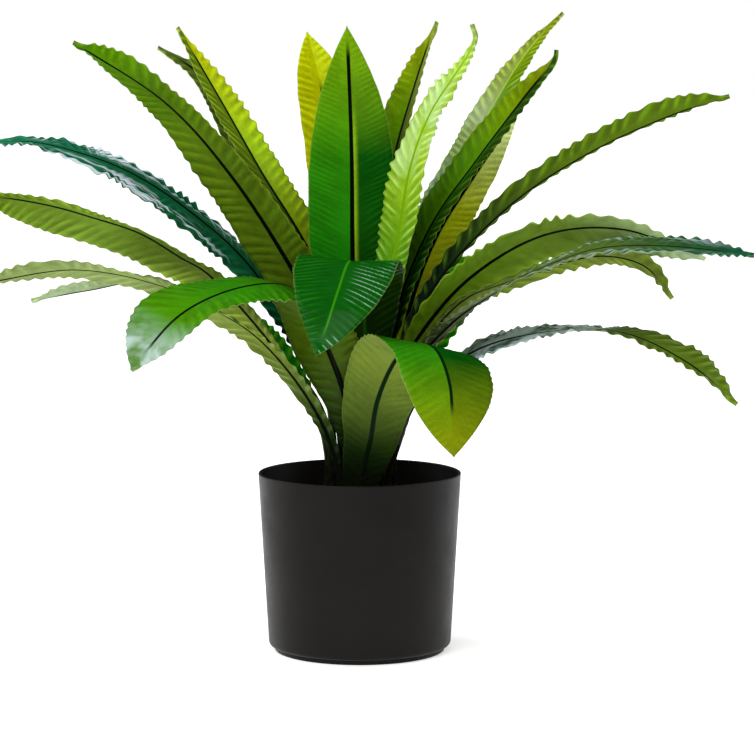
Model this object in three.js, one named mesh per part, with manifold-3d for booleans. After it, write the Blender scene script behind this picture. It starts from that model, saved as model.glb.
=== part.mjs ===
// A potted bird's nest fern: a tapered planter on a low foot, potting soil, the plant's short fibrous crown
// and its fronds, each a strap-shaped blade with a rippled edge along one stout midrib.
// Millimetres, +Z up. The origin is the centre of the planter's underside, and -Y is the plant's front.

import * as THREE from 'three';
import { mergeVertices } from 'three/addons/utils/BufferGeometryUtils.js';
import Module from 'manifold-3d';

const wasm = await Module();
wasm.setup();

// Planter
const POT_HEIGHT = 150;
const RIM_RADIUS = 85;
const WALL_FOOT_RADIUS = 76.5;
const WALL = 2.4;
const LIP_ROUND = 0.8;
const FOOT_RADIUS = 71.5;
const FOOT_HEIGHT = 4;
const CORNER_RADIUS = 4;
const FLOOR_TOP = 8;
const POT_SIDES = 48;
const CORNER_STEPS = 3;
const POT_COLOUR = '#2b2523';
const POT_ROUGHNESS = 0.5;

// Soil
const CLEARANCE = 0.3;
const SOIL_EDGE_TOP = 111;
const SOIL_MOUND = 4;
const SOIL_UNEVENNESS = 0.9;
const SOIL_PITCH = 9;
const SOIL_RINGS = [1, 0.85, 0.7, 0.55];
const SOIL_SIDES = 32;
const SOIL_COLOUR = '#2a1c14';

// Crown, the short upright rhizome that every frond grows from
const CROWN_RADIUS = 34;
const CROWN_BASE = 96;
const CROWN_EDGE_TOP = 117;
const CROWN_DOME = 8;
const CROWN_BUMP = 0.8;
const CROWN_PITCH = 4;
const CROWN_RINGS = [1, 0.85, 0.6, 0.3];
const CROWN_SIDES = 28;
const CROWN_COLOUR = '#4a3220';
const EARTHY_ROUGHNESS = 0.95;

// Seats: the rings on the crown that the stalks stand in
const INNER_RING = 8;
const MIDDLE_RING = 17.5;
const OUTER_RING = 27.5;
const SEAT_FLOOR = 110;
const SEAT_TOP = 127;
const HOLE_HEIGHT = 40;

// Frond make-up
const STALK_WIDTH = 7;
const STALK_THICKNESS = 4;
const STALK_SIDE = 3.4;
const STALK_EDGE = 1.8;
const RIB_HALF_WIDTH = 2.6;
const RIB_SHARE = 0.6;
const RIB_TIP_THICKNESS = 1.4;
const RIB_ABOVE = 0.35;
const LAMINA_THICKNESS = 1.1;
const EDGE_THICKNESS = 0.8;
const TIP_WIDTH = 1.8;
const FOLD = 6;
const FLAT_FROM_WIDTH = 21;
const STALK_STEP = 24;
const BLADE_STEP = 17;
const STALK_SHARE = 0.14;
const WIDENS_FROM = 0.04;
const WIDEST_FROM = 0.58;
const NARROWS_FROM = 0.62;
const TIP_ROUNDNESS = 2.3;
const RIPPLE_HEIGHT = 1.8;
const RIPPLE_OUTLINE = 0.03;
const LEAF_ROUGHNESS = 0.45;

// Every frond. seat: ring radius and direction on the crown, in degrees from +X. width: the widest width.
// rib: places on the midrib, from low to the tip. faces: the direction and the elevation in which the
// upper side looks, at equal shares of the midrib's length with the last at its tip, and the fold there
// where it isn't the frond's own. fold: the degrees that each half is raised by. widens, widest, narrows:
// the shares of the midrib's length where the outline begins to widen, is at its widest and begins to
// narrow.
const FRONDS = {
  centre_tall: {
    leaf: 'green', seat: [INNER_RING, 95], width: 74, fold: 8,
    rib: [[-3, 15, 210], [-6, 30, 325], [-7, 46, 418], [-11, 66, 522]],
    faces: [[-90, 10], [-90, 10], [-90, 15]],
  },
  centre_bowed: {
    leaf: 'green', seat: [INNER_RING, -58], width: 82, widest: 0.72, narrows: 0.72,
    rib: [[5, -14, 195], [5, -24, 263], [2, -48, 310], [-7, -94, 333], [-16, -138, 313],
      [-25, -159, 286], [-33, -169, 265]],
    faces: [[90, 20], [-90, 80], [-90, 30]],
  },
  behind_left: {
    leaf: 'yellow', seat: [MIDDLE_RING, 130], width: 47, narrows: 0.82,
    rib: [[-11, 49, 255], [-13, 81, 324], [-20, 99, 375], [-33, 130, 465], [-47, 150, 518]],
    faces: [[-75, 10], [-75, 10], [-75, 15]],
  },
  behind_right: {
    leaf: 'lime', seat: [MIDDLE_RING, 72], width: 54, narrows: 0.66,
    rib: [[13, 44, 267], [28, 84, 400], [48, 112, 472], [67, 146, 527]],
    faces: [[-110, 15, 8], [-149, 19, 22], [-153, 31, 26]],
  },
  lime_upright: {
    leaf: 'lime', seat: [INNER_RING, 20], width: 58,
    rib: [[17, -2, 268], [33, -2, 352], [44, 2, 410], [60, 4, 451], [78, 4, 479], [91, 4, 499],
      [96, 4, 512], [93, 4, 523]],
    faces: [[-151, 5], [-150, 13, 8], [-172, -18, 4]],
  },
  right_high_back: {
    leaf: 'lime', seat: [MIDDLE_RING, 42], width: 64,
    rib: [[30, 42, 267], [66, 84, 362], [117, 122, 456], [147, 140, 502], [178, 155, 535]],
    faces: [[-151, 23, 12], [-155, 34], [-152, 46, 8]],
  },
  right_high: {
    leaf: 'green', seat: [MIDDLE_RING, 4], width: 58, fold: 9,
    rib: [[28, 0, 269], [59, 2, 354], [99, 4, 412], [136, 4, 461], [162, 4, 495], [163, 4, 502]],
    faces: [[-155, 11, 10], [-156, 35, 14], [-158, -21, 21]],
  },
  right_yellow: {
    leaf: 'yellow', seat: [OUTER_RING, 13], width: 48,
    rib: [[38, 15, 268], [63, 29, 342], [94, 41, 392], [134, 58, 449]],
    faces: [[-120, 15], [-115, 25], [-115, 25]],
  },
  right_long: {
    leaf: 'green', seat: [OUTER_RING, -7], width: 56, fold: 17, narrows: 0.84,
    rib: [[38, -11, 261], [69, -14, 317], [129, -10, 378], [194, -12, 420], [258, -15, 449],
      [304, -18, 464]],
    faces: [[160, 26, 9], [149, 54, 13], [127, 64, 18]],
  },
  right_arching: {
    leaf: 'olive', seat: [MIDDLE_RING, -34], width: 64, fold: -9, narrows: 0.72,
    rib: [[21, -20, 214], [45, -32, 262], [88, -54, 316], [149, -78, 354], [210, -105, 360],
      [272, -138, 338]],
    faces: [[126, 33], [102, 58], [42, 47]],
  },
  right_edgewise: {
    leaf: 'blue', seat: [OUTER_RING, -68], width: 56, fold: 4, narrows: 0.9,
    rib: [[25, -35, 214], [72, -80, 280], [112, -120, 313], [145, -148, 332], [186, -174, 348],
      [231, -190, 351], [302, -202, 345]],
    faces: [[149, 49, 6], [-176, 64, 3], [-72, 80, 9]],
  },
  right_short: {
    leaf: 'olive', seat: [OUTER_RING, -27], width: 48, narrows: 0.82,
    rib: [[28, -24, 212], [58, -45, 270], [86, -60, 301], [118, -72, 315], [152, -84, 328],
      [194, -97, 338], [228, -108, 330], [249, -114, 305]],
    faces: [[147, 36, -14], [135, 68, -3], [24, 38, 13]],
  },
  right_low: {
    leaf: 'blue', seat: [OUTER_RING, -47], width: 53, widens: -0.05, narrows: 0.8,
    rib: [[31, -26, 174], [47, -28, 213], [84, -62, 252], [131, -104, 274], [203, -160, 282],
      [253, -192, 261], [290, -205, 231]],
    faces: [[-161, 42, 0], [97, 86, 2], [-40, 50, 24]],
  },
  front_bowed: {
    leaf: 'green', seat: [OUTER_RING, -92], width: 75, widens: -0.35, widest: 0.6, narrows: 0.74,
    rib: [[5, -37, 165], [9, -44, 182], [15, -56, 217], [31, -82, 255], [46, -108, 268],
      [61, -140, 266], [71, -170, 242], [73, -182, 211], [74, -187, 188]],
    faces: [[90, 10], [-35, 74, -4], [-90, 20]],
  },
  left_broad: {
    leaf: 'olive', seat: [INNER_RING, -135], width: 57, widens: -0.03, widest: 0.48, narrows: 0.84,
    rib: [[-12, -8, 218], [-23, -12, 257], [-52, -28, 317], [-102, -58, 399], [-153, -88, 459],
      [-224, -118, 507]],
    faces: [[72, 4, 4], [70, 22], [63, 30, -9], [56, 39, -9], [42, 53, 1], [55, 54, 26]],
  },
  left_yellow: {
    leaf: 'lime', seat: [INNER_RING, 165], width: 58, fold: 12, narrows: 0.68,
    rib: [[-17, 35, 251], [-40, 50, 324], [-86, 75, 400], [-120, 105, 457], [-159, 128, 522]],
    faces: [[-33, 18], [-29, 36], [-28, 35]],
  },
  left_behind: {
    leaf: 'green', seat: [MIDDLE_RING, 160], width: 50,
    rib: [[-34, 32, 250], [-60, 74, 319], [-101, 120, 416], [-137, 148, 477], [-179, 168, 505]],
    faces: [[-35, 35], [-35, 35], [-55, 55]],
  },
  left_blue: {
    leaf: 'blue', seat: [MIDDLE_RING, -171], width: 58, fold: -4, narrows: 0.76,
    rib: [[-27, 4, 212], [-45, 5, 247], [-92, 2, 323], [-143, -3, 370], [-183, -6, 397],
      [-219, -10, 413], [-271, -14, 426], [-316, -17, 424]],
    faces: [[-19, 28, -6], [-30, 52], [-118, 84, 10]],
  },
  left_long: {
    leaf: 'olive', seat: [OUTER_RING, -168], width: 64, fold: -20, widens: 0.12, narrows: 0.8,
    rib: [[-32, -4, 192], [-121, -26, 316], [-147, -38, 334], [-178, -52, 354], [-216, -68, 368],
      [-248, -82, 378], [-286, -95, 385], [-307, -100, 385]],
    faces: [[36, 35, -4], [59, 59, -18], [104, 63, -11]],
  },
  left_low: {
    leaf: 'olive', seat: [OUTER_RING, -120], width: 56, widens: -0.05, widest: 0.52, narrows: 0.84,
    rib: [[-20, -29, 168], [-42, -48, 218], [-80, -76, 269], [-108, -87, 290], [-159, -100, 315],
      [-223, -125, 329], [-280, -146, 322], [-298, -151, 318]],
    faces: [[35, 39, -3], [31, 60, -9], [75, 74, -3], [133, 64, 15]],
  },
  left_short: {
    leaf: 'green', seat: [OUTER_RING, -144], width: 48, widens: 0.25, widest: 0.75, narrows: 0.86,
    rib: [[-28, -24, 196], [-54, -40, 240], [-118, -44, 283], [-170, -50, 313], [-220, -67, 308],
      [-263, -88, 301]],
    faces: [[40, 42, 0], [24, 60, 8], [138, 66, 15]],
  },
  front_left_bowed: {
    leaf: 'green', seat: [MIDDLE_RING, -96], width: 78, fold: 7, widens: -0.1, widest: 0.6, narrows: 0.86,
    rib: [[-6, -29, 181], [-13, -40, 222], [-25, -54, 258], [-38, -72, 290], [-55, -92, 312],
      [-93, -135, 315], [-138, -175, 296], [-174, -196, 256]],
    faces: [[95, 13, 0], [86, 25, 0], [30, 46, -4], [-73, 80, -3], [-122, 62, 14], [-131, 44, 14]],
  },
  back_low_1: {
    leaf: 'green', seat: [OUTER_RING, 36], width: 46, widens: 0.1,
    rib: [[35, 23, 200], [80, 52, 280], [124, 88, 320], [158, 120, 320]],
    faces: [[-145, 45], [-145, 75], [35, 75]],
  },
  back_low_2: {
    leaf: 'olive', seat: [OUTER_RING, 62], width: 50, widens: 0.1,
    rib: [[21, 36, 205], [48, 80, 288], [76, 130, 320], [100, 176, 312]],
    faces: [[-114, 45], [-114, 75], [66, 75]],
  },
  back_high: {
    leaf: 'green', seat: [MIDDLE_RING, 101], width: 50, widens: 0.22,
    rib: [[1, 37, 200], [1, 66, 275], [2, 112, 345], [4, 168, 380]],
    faces: [[-90, 30], [-90, 50], [-90, 70]],
  },
  back_low_3: {
    leaf: 'green', seat: [OUTER_RING, 90], width: 46, widens: 0.1,
    rib: [[0, 48, 195], [0, 110, 258], [-2, 165, 284], [-4, 215, 272]],
    faces: [[-90, 45], [-90, 75], [90, 75]],
  },
  back_low_4: {
    leaf: 'lime', seat: [OUTER_RING, 118], width: 50, widens: 0.1,
    rib: [[-21, 36, 205], [-48, 80, 286], [-78, 130, 316], [-102, 176, 306]],
    faces: [[-66, 45], [-66, 75], [114, 75]],
  },
  back_low_5: {
    leaf: 'green', seat: [OUTER_RING, 147], width: 48, widens: 0.1,
    rib: [[-36, 23, 195], [-82, 48, 258], [-132, 80, 288], [-180, 114, 285]],
    faces: [[-33, 45], [-33, 75], [147, 75]],
  },
};

// Points closer than this are one corner of a solid.
const MERGE_DISTANCE = 1e-3;

const LEAF_COLOURS = {
  green: '#2f8a1c',
  lime: '#7fb52a',
  yellow: '#b9a92b',
  olive: '#5c7a35',
  blue: '#1f6b52',
};

const radians = THREE.MathUtils.degToRad;

function direction(azimuth, elevation) {
  const level = Math.cos(radians(elevation));
  return new THREE.Vector3(
    level * Math.cos(radians(azimuth)),
    level * Math.sin(radians(azimuth)),
    Math.sin(radians(elevation)),
  );
}

function smoothRise(from, to, value) {
  return THREE.MathUtils.smoothstep(value, from, to);
}

// Turns a closed profile round the Z axis.
function turned(profile, sides) {
  const geometry = new THREE.LatheGeometry(profile, sides);
  geometry.rotateX(Math.PI / 2);
  return geometry;
}

function toSolid(geometry) {
  const bare = geometry.clone();
  bare.deleteAttribute('normal');
  bare.deleteAttribute('uv');
  const merged = mergeVertices(bare, MERGE_DISTANCE);
  const corners = merged.index.array;
  const kept = [];
  for (let i = 0; i < corners.length; i += 3) {
    const [a, b, c] = [corners[i], corners[i + 1], corners[i + 2]];
    if (a !== b && b !== c && c !== a) kept.push(a, b, c);
  }
  return new wasm.Manifold(new wasm.Mesh({
    numProp: 3,
    vertProperties: new Float32Array(merged.getAttribute('position').array),
    triVerts: new Uint32Array(kept),
  }));
}

function toGeometry(solid) {
  const mesh = solid.getMesh();
  const geometry = new THREE.BufferGeometry();
  geometry.setAttribute('position', new THREE.BufferAttribute(mesh.vertProperties, 3));
  geometry.setIndex(new THREE.BufferAttribute(mesh.triVerts, 1));
  geometry.computeVertexNormals();
  return geometry;
}

function makeMesh(name, geometry, color, roughness) {
  const material = new THREE.MeshStandardMaterial({ color, roughness, metalness: 0 });
  const mesh = new THREE.Mesh(geometry, material);
  mesh.name = name;
  return mesh;
}

// The wall's outer radius at a height, on the straight taper from the foot to the rim.
function wallRadius(height) {
  const share = (height - FOOT_HEIGHT) / (POT_HEIGHT - FOOT_HEIGHT);
  return THREE.MathUtils.lerp(WALL_FOOT_RADIUS, RIM_RADIUS, share);
}

function makePot() {
  const path = new THREE.Path();
  path.moveTo(0, 0);
  path.lineTo(FOOT_RADIUS, 0);
  path.lineTo(FOOT_RADIUS, FOOT_HEIGHT);
  path.lineTo(WALL_FOOT_RADIUS - CORNER_RADIUS, FOOT_HEIGHT);
  path.quadraticCurveTo(WALL_FOOT_RADIUS, FOOT_HEIGHT, wallRadius(FOOT_HEIGHT + CORNER_RADIUS),
    FOOT_HEIGHT + CORNER_RADIUS);
  path.lineTo(RIM_RADIUS, POT_HEIGHT - LIP_ROUND);
  path.lineTo(RIM_RADIUS - LIP_ROUND, POT_HEIGHT);
  path.lineTo(RIM_RADIUS - WALL, POT_HEIGHT);
  path.lineTo(wallRadius(FLOOR_TOP) - WALL, FLOOR_TOP);
  path.lineTo(0, FLOOR_TOP);
  return makeMesh('pot', turned(path.getPoints(CORNER_STEPS), POT_SIDES), POT_COLOUR, POT_ROUGHNESS);
}

// Lifts the points of a top surface by a gentle formula of their place, so that it isn't flat.
function unevenTop(geometry, fromHeight, amount, pitch) {
  const place = geometry.getAttribute('position');
  for (let i = 0; i < place.count; i++) {
    const [x, y, z] = [place.getX(i), place.getY(i), place.getZ(i)];
    if (z < fromHeight) continue;
    place.setZ(i, z + amount * Math.sin(x / pitch + 1) * Math.cos(y / pitch));
  }
  return geometry;
}

function makeSoil() {
  const bottom = FLOOR_TOP + CLEARANCE;
  const inset = WALL + 2 * CLEARANCE;
  const edge = wallRadius(SOIL_EDGE_TOP) - inset;
  const profile = [
    new THREE.Vector2(0, bottom),
    new THREE.Vector2(wallRadius(bottom) - inset, bottom),
    ...SOIL_RINGS.map((r) => new THREE.Vector2(edge * r, SOIL_EDGE_TOP + SOIL_MOUND * (1 - r * r))),
    new THREE.Vector2(0, SOIL_EDGE_TOP + SOIL_MOUND),
  ];
  const body = toSolid(unevenTop(turned(profile, SOIL_SIDES), SOIL_EDGE_TOP, SOIL_UNEVENNESS, SOIL_PITCH));
  const holeRadius = CROWN_RADIUS + 2 * CLEARANCE;
  const hole = new THREE.CylinderGeometry(holeRadius, holeRadius, HOLE_HEIGHT, CROWN_SIDES);
  hole.rotateX(Math.PI / 2);
  hole.translate(0, 0, CROWN_BASE - CLEARANCE + HOLE_HEIGHT / 2);
  return makeMesh('soil', toGeometry(body.subtract(toSolid(hole))), SOIL_COLOUR, EARTHY_ROUGHNESS);
}

function seatPlace([radius, azimuth], height) {
  return direction(azimuth, 0).multiplyScalar(radius).setZ(height);
}

function makeCrown() {
  const profile = [
    new THREE.Vector2(0, CROWN_BASE),
    new THREE.Vector2(CROWN_RADIUS, CROWN_BASE),
    ...CROWN_RINGS.map((r) => new THREE.Vector2(
      CROWN_RADIUS * r,
      CROWN_EDGE_TOP + CROWN_DOME * (1 - r * r),
    )),
    new THREE.Vector2(0, CROWN_EDGE_TOP + CROWN_DOME),
  ];
  let body = toSolid(unevenTop(turned(profile, CROWN_SIDES), CROWN_EDGE_TOP, CROWN_BUMP, CROWN_PITCH));
  for (const { seat } of Object.values(FRONDS)) {
    body = body.subtract(toSolid(stalkHole(seat)));
  }
  return makeMesh('crown', toGeometry(body), CROWN_COLOUR, EARTHY_ROUGHNESS);
}

// The stalk's and the blade's cross-section: offsets across and above, first the upper side's, then the
// underside's.
function section({ width, rib, ribAbove, side, edge, fold, ripple }) {
  const half = width / 2;
  const flank = Math.min(RIB_SHARE * half, RIB_HALF_WIDTH);
  const rise = Math.tan(radians(fold));
  const face = (way) => [
    [-half, half * rise + ripple + (way * edge) / 2],
    [-flank, flank * rise + (way * side) / 2],
    [0, way > 0 ? ribAbove * rib : (ribAbove - 1) * rib],
    [flank, flank * rise + (way * side) / 2],
    [half, half * rise + ripple + (way * edge) / 2],
  ];
  return { upper: face(1), under: face(-1) };
}

// Joins rings of points, one ring for each station, into a closed body. Both faces are split alike.
function loft(stations) {
  const positions = [];
  for (const { place, across, above, shape } of stations) {
    for (const [offset, height] of [...shape.upper, ...shape.under]) {
      const point = place.clone().addScaledVector(across, offset).addScaledVector(above, height);
      positions.push(point.x, point.y, point.z);
    }
  }
  const columns = stations[0].shape.upper.length;
  const upper = (station, column) => station * 2 * columns + column;
  const under = (station, column) => upper(station, column) + columns;
  const faces = [];
  const last = stations.length - 1;
  for (let i = 0; i < last; i++) {
    for (let j = 0; j < columns - 1; j++) {
      faces.push(upper(i, j), upper(i + 1, j), upper(i + 1, j + 1));
      faces.push(upper(i, j), upper(i + 1, j + 1), upper(i, j + 1));
      faces.push(under(i, j), under(i + 1, j + 1), under(i + 1, j));
      faces.push(under(i, j), under(i, j + 1), under(i + 1, j + 1));
    }
    const right = columns - 1;
    faces.push(upper(i, 0), under(i + 1, 0), upper(i + 1, 0));
    faces.push(upper(i, 0), under(i, 0), under(i + 1, 0));
    faces.push(upper(i, right), upper(i + 1, right), under(i + 1, right));
    faces.push(upper(i, right), under(i + 1, right), under(i, right));
  }
  for (let j = 0; j < columns - 1; j++) {
    faces.push(upper(0, j), upper(0, j + 1), under(0, j + 1));
    faces.push(upper(0, j), under(0, j + 1), under(0, j));
    faces.push(upper(last, j), under(last, j + 1), upper(last, j + 1));
    faces.push(upper(last, j), under(last, j), under(last, j + 1));
  }
  const geometry = new THREE.BufferGeometry();
  geometry.setAttribute('position', new THREE.Float32BufferAttribute(positions, 3));
  geometry.setIndex(faces);
  geometry.computeVertexNormals();
  return geometry;
}

const UP = new THREE.Vector3(0, 0, 1);

// A ring across the midrib, square to its direction, with the upper side turned as near as it can be to
// facing.
function station(place, along, facing, shape) {
  const above = facing.clone().addScaledVector(along, -facing.dot(along)).normalize();
  const across = above.clone().cross(along);
  return { place, across, above, shape };
}

const STALK = {
  width: STALK_WIDTH,
  rib: STALK_THICKNESS,
  ribAbove: 0.5,
  side: STALK_SIDE,
  edge: STALK_EDGE,
  fold: 0,
  ripple: 0,
};

function stalkHole(seat) {
  const [depth, width] = [STALK_THICKNESS, STALK_WIDTH].map((size) => size + 2 * CLEARANCE);
  const hole = new THREE.BoxGeometry(depth, width, HOLE_HEIGHT);
  hole.translate(0, 0, HOLE_HEIGHT / 2);
  hole.rotateZ(radians(seat[1]));
  const place = seatPlace(seat, SEAT_FLOOR - CLEARANCE);
  return hole.translate(place.x, place.y, place.z);
}

// The share of the widest width at a share of the midrib's length: narrow at the stalk, then a long strap,
// then a rounded point.
function outline(share, widens, widest, narrows) {
  const left = Math.max(0, (share - narrows) / (1 - narrows));
  return smoothRise(widens, widest, share) * (1 - left ** TIP_ROUNDNESS);
}

// Finds the stop before a share of the midrib and how far on it lies towards the next one.
function between(stops, share) {
  const reach = share * (stops.length - 1);
  const before = Math.min(Math.floor(reach), stops.length - 2);
  return [stops[before], stops[before + 1], reach - before];
}

function facingAt(share, inward, faces) {
  const stops = [inward, ...faces.map(([azimuth, elevation]) => direction(azimuth, elevation))];
  const [before, after, part] = between(stops, share);
  return before.clone().lerp(after, part);
}

function foldAt(share, fold, faces) {
  return THREE.MathUtils.lerp(...between([fold, ...faces.map(([, , own = fold]) => own)], share));
}

function makeFrond(name, { leaf, seat, width, rib, faces, ...own }) {
  const { fold = FOLD, widens = WIDENS_FROM, widest = WIDEST_FROM, narrows = NARROWS_FROM } = own;
  const inward = direction(seat[1] + 180, 0);
  const places = rib.map((place) => new THREE.Vector3(...place));
  const curve = new THREE.CatmullRomCurve3([seatPlace(seat, SEAT_TOP), ...places]);
  const length = curve.getLength();
  const stalkSteps = Math.max(2, Math.round((length * STALK_SHARE) / STALK_STEP));
  const bladeSteps = Math.round((length * (1 - STALK_SHARE)) / BLADE_STEP);
  const shares = [];
  for (let i = 1; i < stalkSteps; i++) shares.push((STALK_SHARE * i) / stalkSteps);
  for (let i = 0; i <= bladeSteps; i++) shares.push(THREE.MathUtils.lerp(STALK_SHARE, 1, i / bladeSteps));

  const rooted = (height) => station(seatPlace(seat, height), UP, inward, section(STALK));
  const stations = [rooted(SEAT_FLOOR), rooted(SEAT_TOP)];
  shares.forEach((share, i) => {
    const broad = outline(share, widens, widest, narrows);
    const ripple = (i % 2 ? 1 : -1) * broad;
    const slim = THREE.MathUtils.lerp(STALK_WIDTH, TIP_WIDTH, share);
    const full = Math.max(width * broad * (1 + RIPPLE_OUTLINE * ripple), slim);
    const flat = smoothRise(STALK_WIDTH, FLAT_FROM_WIDTH, full);
    const thin = Math.max(flat, share);
    const shape = section({
      width: full,
      rib: THREE.MathUtils.lerp(STALK_THICKNESS, RIB_TIP_THICKNESS, share),
      ribAbove: THREE.MathUtils.lerp(STALK.ribAbove, RIB_ABOVE, thin),
      side: THREE.MathUtils.lerp(STALK_SIDE, LAMINA_THICKNESS, thin),
      edge: THREE.MathUtils.lerp(STALK_EDGE, EDGE_THICKNESS, thin),
      fold: foldAt(share, fold, faces) * flat,
      ripple: ripple * RIPPLE_HEIGHT,
    });
    const facing = facingAt(share, inward, faces);
    stations.push(station(curve.getPointAt(share), curve.getTangentAt(share), facing, shape));
  });
  return makeMesh(`frond_${name}`, loft(stations), LEAF_COLOURS[leaf], LEAF_ROUGHNESS);
}

const fern = new THREE.Group();
fern.add(makePot(), makeSoil(), makeCrown());
for (const [name, frond] of Object.entries(FRONDS)) fern.add(makeFrond(name, frond));

export default fern;
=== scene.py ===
"""A potted bird's nest fern: a dark tapered planter, potting soil, the plant's fibrous crown and its fronds.

Everything is in metres in the part's own frame: +Z up, the origin under the planter's centre and -Y the
plant's front. The tables below are in millimetres, as a grower would measure, and are scaled by MM.
"""

import math
import random
from bisect import bisect_right
from dataclasses import dataclass

import bmesh
import bpy
from bpy.props import FloatProperty, FloatVectorProperty, IntProperty, PointerProperty
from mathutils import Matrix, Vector, noise


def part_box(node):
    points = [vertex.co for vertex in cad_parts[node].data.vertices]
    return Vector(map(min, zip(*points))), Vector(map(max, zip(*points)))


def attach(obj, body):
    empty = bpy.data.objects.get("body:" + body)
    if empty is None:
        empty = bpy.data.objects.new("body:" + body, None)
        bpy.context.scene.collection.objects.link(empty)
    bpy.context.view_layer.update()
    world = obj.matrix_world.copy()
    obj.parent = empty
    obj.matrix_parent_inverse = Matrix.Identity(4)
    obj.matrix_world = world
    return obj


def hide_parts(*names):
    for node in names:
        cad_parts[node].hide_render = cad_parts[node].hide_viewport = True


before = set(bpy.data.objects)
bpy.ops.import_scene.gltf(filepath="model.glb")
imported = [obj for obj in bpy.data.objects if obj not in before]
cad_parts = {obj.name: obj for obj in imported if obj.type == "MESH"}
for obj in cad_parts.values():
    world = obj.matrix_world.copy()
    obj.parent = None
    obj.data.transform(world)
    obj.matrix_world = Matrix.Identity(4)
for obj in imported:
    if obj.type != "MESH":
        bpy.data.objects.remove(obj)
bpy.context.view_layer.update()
POT_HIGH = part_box("pot")[1]
SOIL_LOW, SOIL_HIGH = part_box("soil")
CROWN_LOW, CROWN_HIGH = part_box("crown")

bl_info = {
    "name": "Potted Bird's Nest Fern",
    "version": (1, 0, 0),
    "blender": (4, 5, 0),
    "location": "3D View > Sidebar > Fern",
    "description": "Builds a planter, its soil and a bird's nest fern with rippled fronds",
    "category": "Add Mesh",
}

MM = 0.001

# Seats on the crown: the rings that the stalks stand in, and the heights that a stalk is straight between
INNER_RING = 8
MIDDLE_RING = 17.5
OUTER_RING = 27.5
SEAT_FLOOR = 110
SEAT_TOP = 127

# What each point of a frond's mesh carries for its finish
CARRIED = ("along", "across", "turns", "from_rib", "upper")

# Leaf tints
TINTS = {
    "ink": "#060a05",
    "night": "#03200a",
    "bottle": "#0e3c04",
    "deep": "#084c08",
    "grass": "#0f7c0e",
    "leaf": "#2c7a08",
    "fern": "#4a7a04",
    "moss": "#22400c",
    "drab": "#44561c",
    "olive": "#546e12",
    "khaki": "#6a7c2c",
    "sage": "#7c8e50",
    "bronze": "#6a7606",
    "gold": "#a8b002",
    "citron": "#bccc14",
    "lime": "#92b81c",
    "spring": "#6c980a",
    "pine": "#0a4032",
    "teal": "#14604e",
    "mist": "#9cb088",
    "highlight_white": "#ccdae4",
    # The white of the painted highlights: patches, sheen and glints
    "pear": "#8eaf3f",
    "lemon": "#e6ee20",
    "cream": "#d8e8a0",
    "jade": "#0a4a2c",
    "verdigris": "#1a6a4a",
}

# The other finishes: a dark and a light tint each
DARK_AND_LIGHT = {
    "planter": ("#0d0a09", "#120e0d"),
    "soil": ("#150e09", "#33241a"),
    "crumbs": ("#1a110b", "#3d2b1e"),
    "crown": ("#160e08", "#3b2718"),
    "mineral": ("#b9b1a2", "#e4dfd4"),
    "scales": ("#1c120b", "#5a4028"),
}
EARTH_SPECKS = "#6b5844"
SCALE_SPOTS = "#2c1d11"


@dataclass
class Frond:
    """One frond. Shares run from 0 at its seat to 1 at its tip. Left and right are those of someone who looks
    at the upper side with the tip up. A row of four tints runs from the stalk to the tip."""

    slot: str
    # Ring radius, and direction in degrees
    seat: tuple
    width: float
    # Places on the midrib, from low to the tip
    rib: list
    # At equal shares: direction and elevation that the upper side looks in, and the fold where it is another
    faces: list
    upper: str
    under: str = "moss olive sage sage"
    # Degrees that each half is raised by
    fold: float = 6
    # Shares where the outline begins to widen, is widest and begins to narrow
    widens: float = 0.04
    widest: float = 0.58
    narrows: float = 0.62
    # Tints of the right half where it isn't like the left, and of the strip beside its midrib
    upper_right: str = ""
    under_right: str = ""
    flank: str = ""
    # The midrib's tint, the share that it shows to and its width for the usual one
    midrib: str = "ink"
    rib_to: float = 0.92
    rib_size: float = 1
    # Corrugations for each usual one, how strong their painted light and shade is, and the tint and strength
    # of the painted highlight on their crests
    veins: float = 1
    bands: float = 1
    streak: str = "spring"
    streaks: float = 0.6
    # How strongly the edge ruffles and the blade crumples, and the strength of the glossy coat
    ruffle: float = 1
    crumple: float = 0
    gloss: float = 0.02
    # Painted highlight in pale patches, painted sheen in pale strips that run lengthwise, and the shares
    # between which both rise and fade
    highlight_patches: float = 0
    sheen: float = 0
    highlight_span: tuple = (0.3, 0.5, 0.9, 1.0)
    # Painted glints: thin highlight lines on one half, 1 the right and -1 the left
    glints: float = 0
    glint_side: int = 1
    # Share that the stalk's dark reaches to: its own near-black colour, with painted shade low in the bundle
    dark_and_shade_to: float = 0.3


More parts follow.
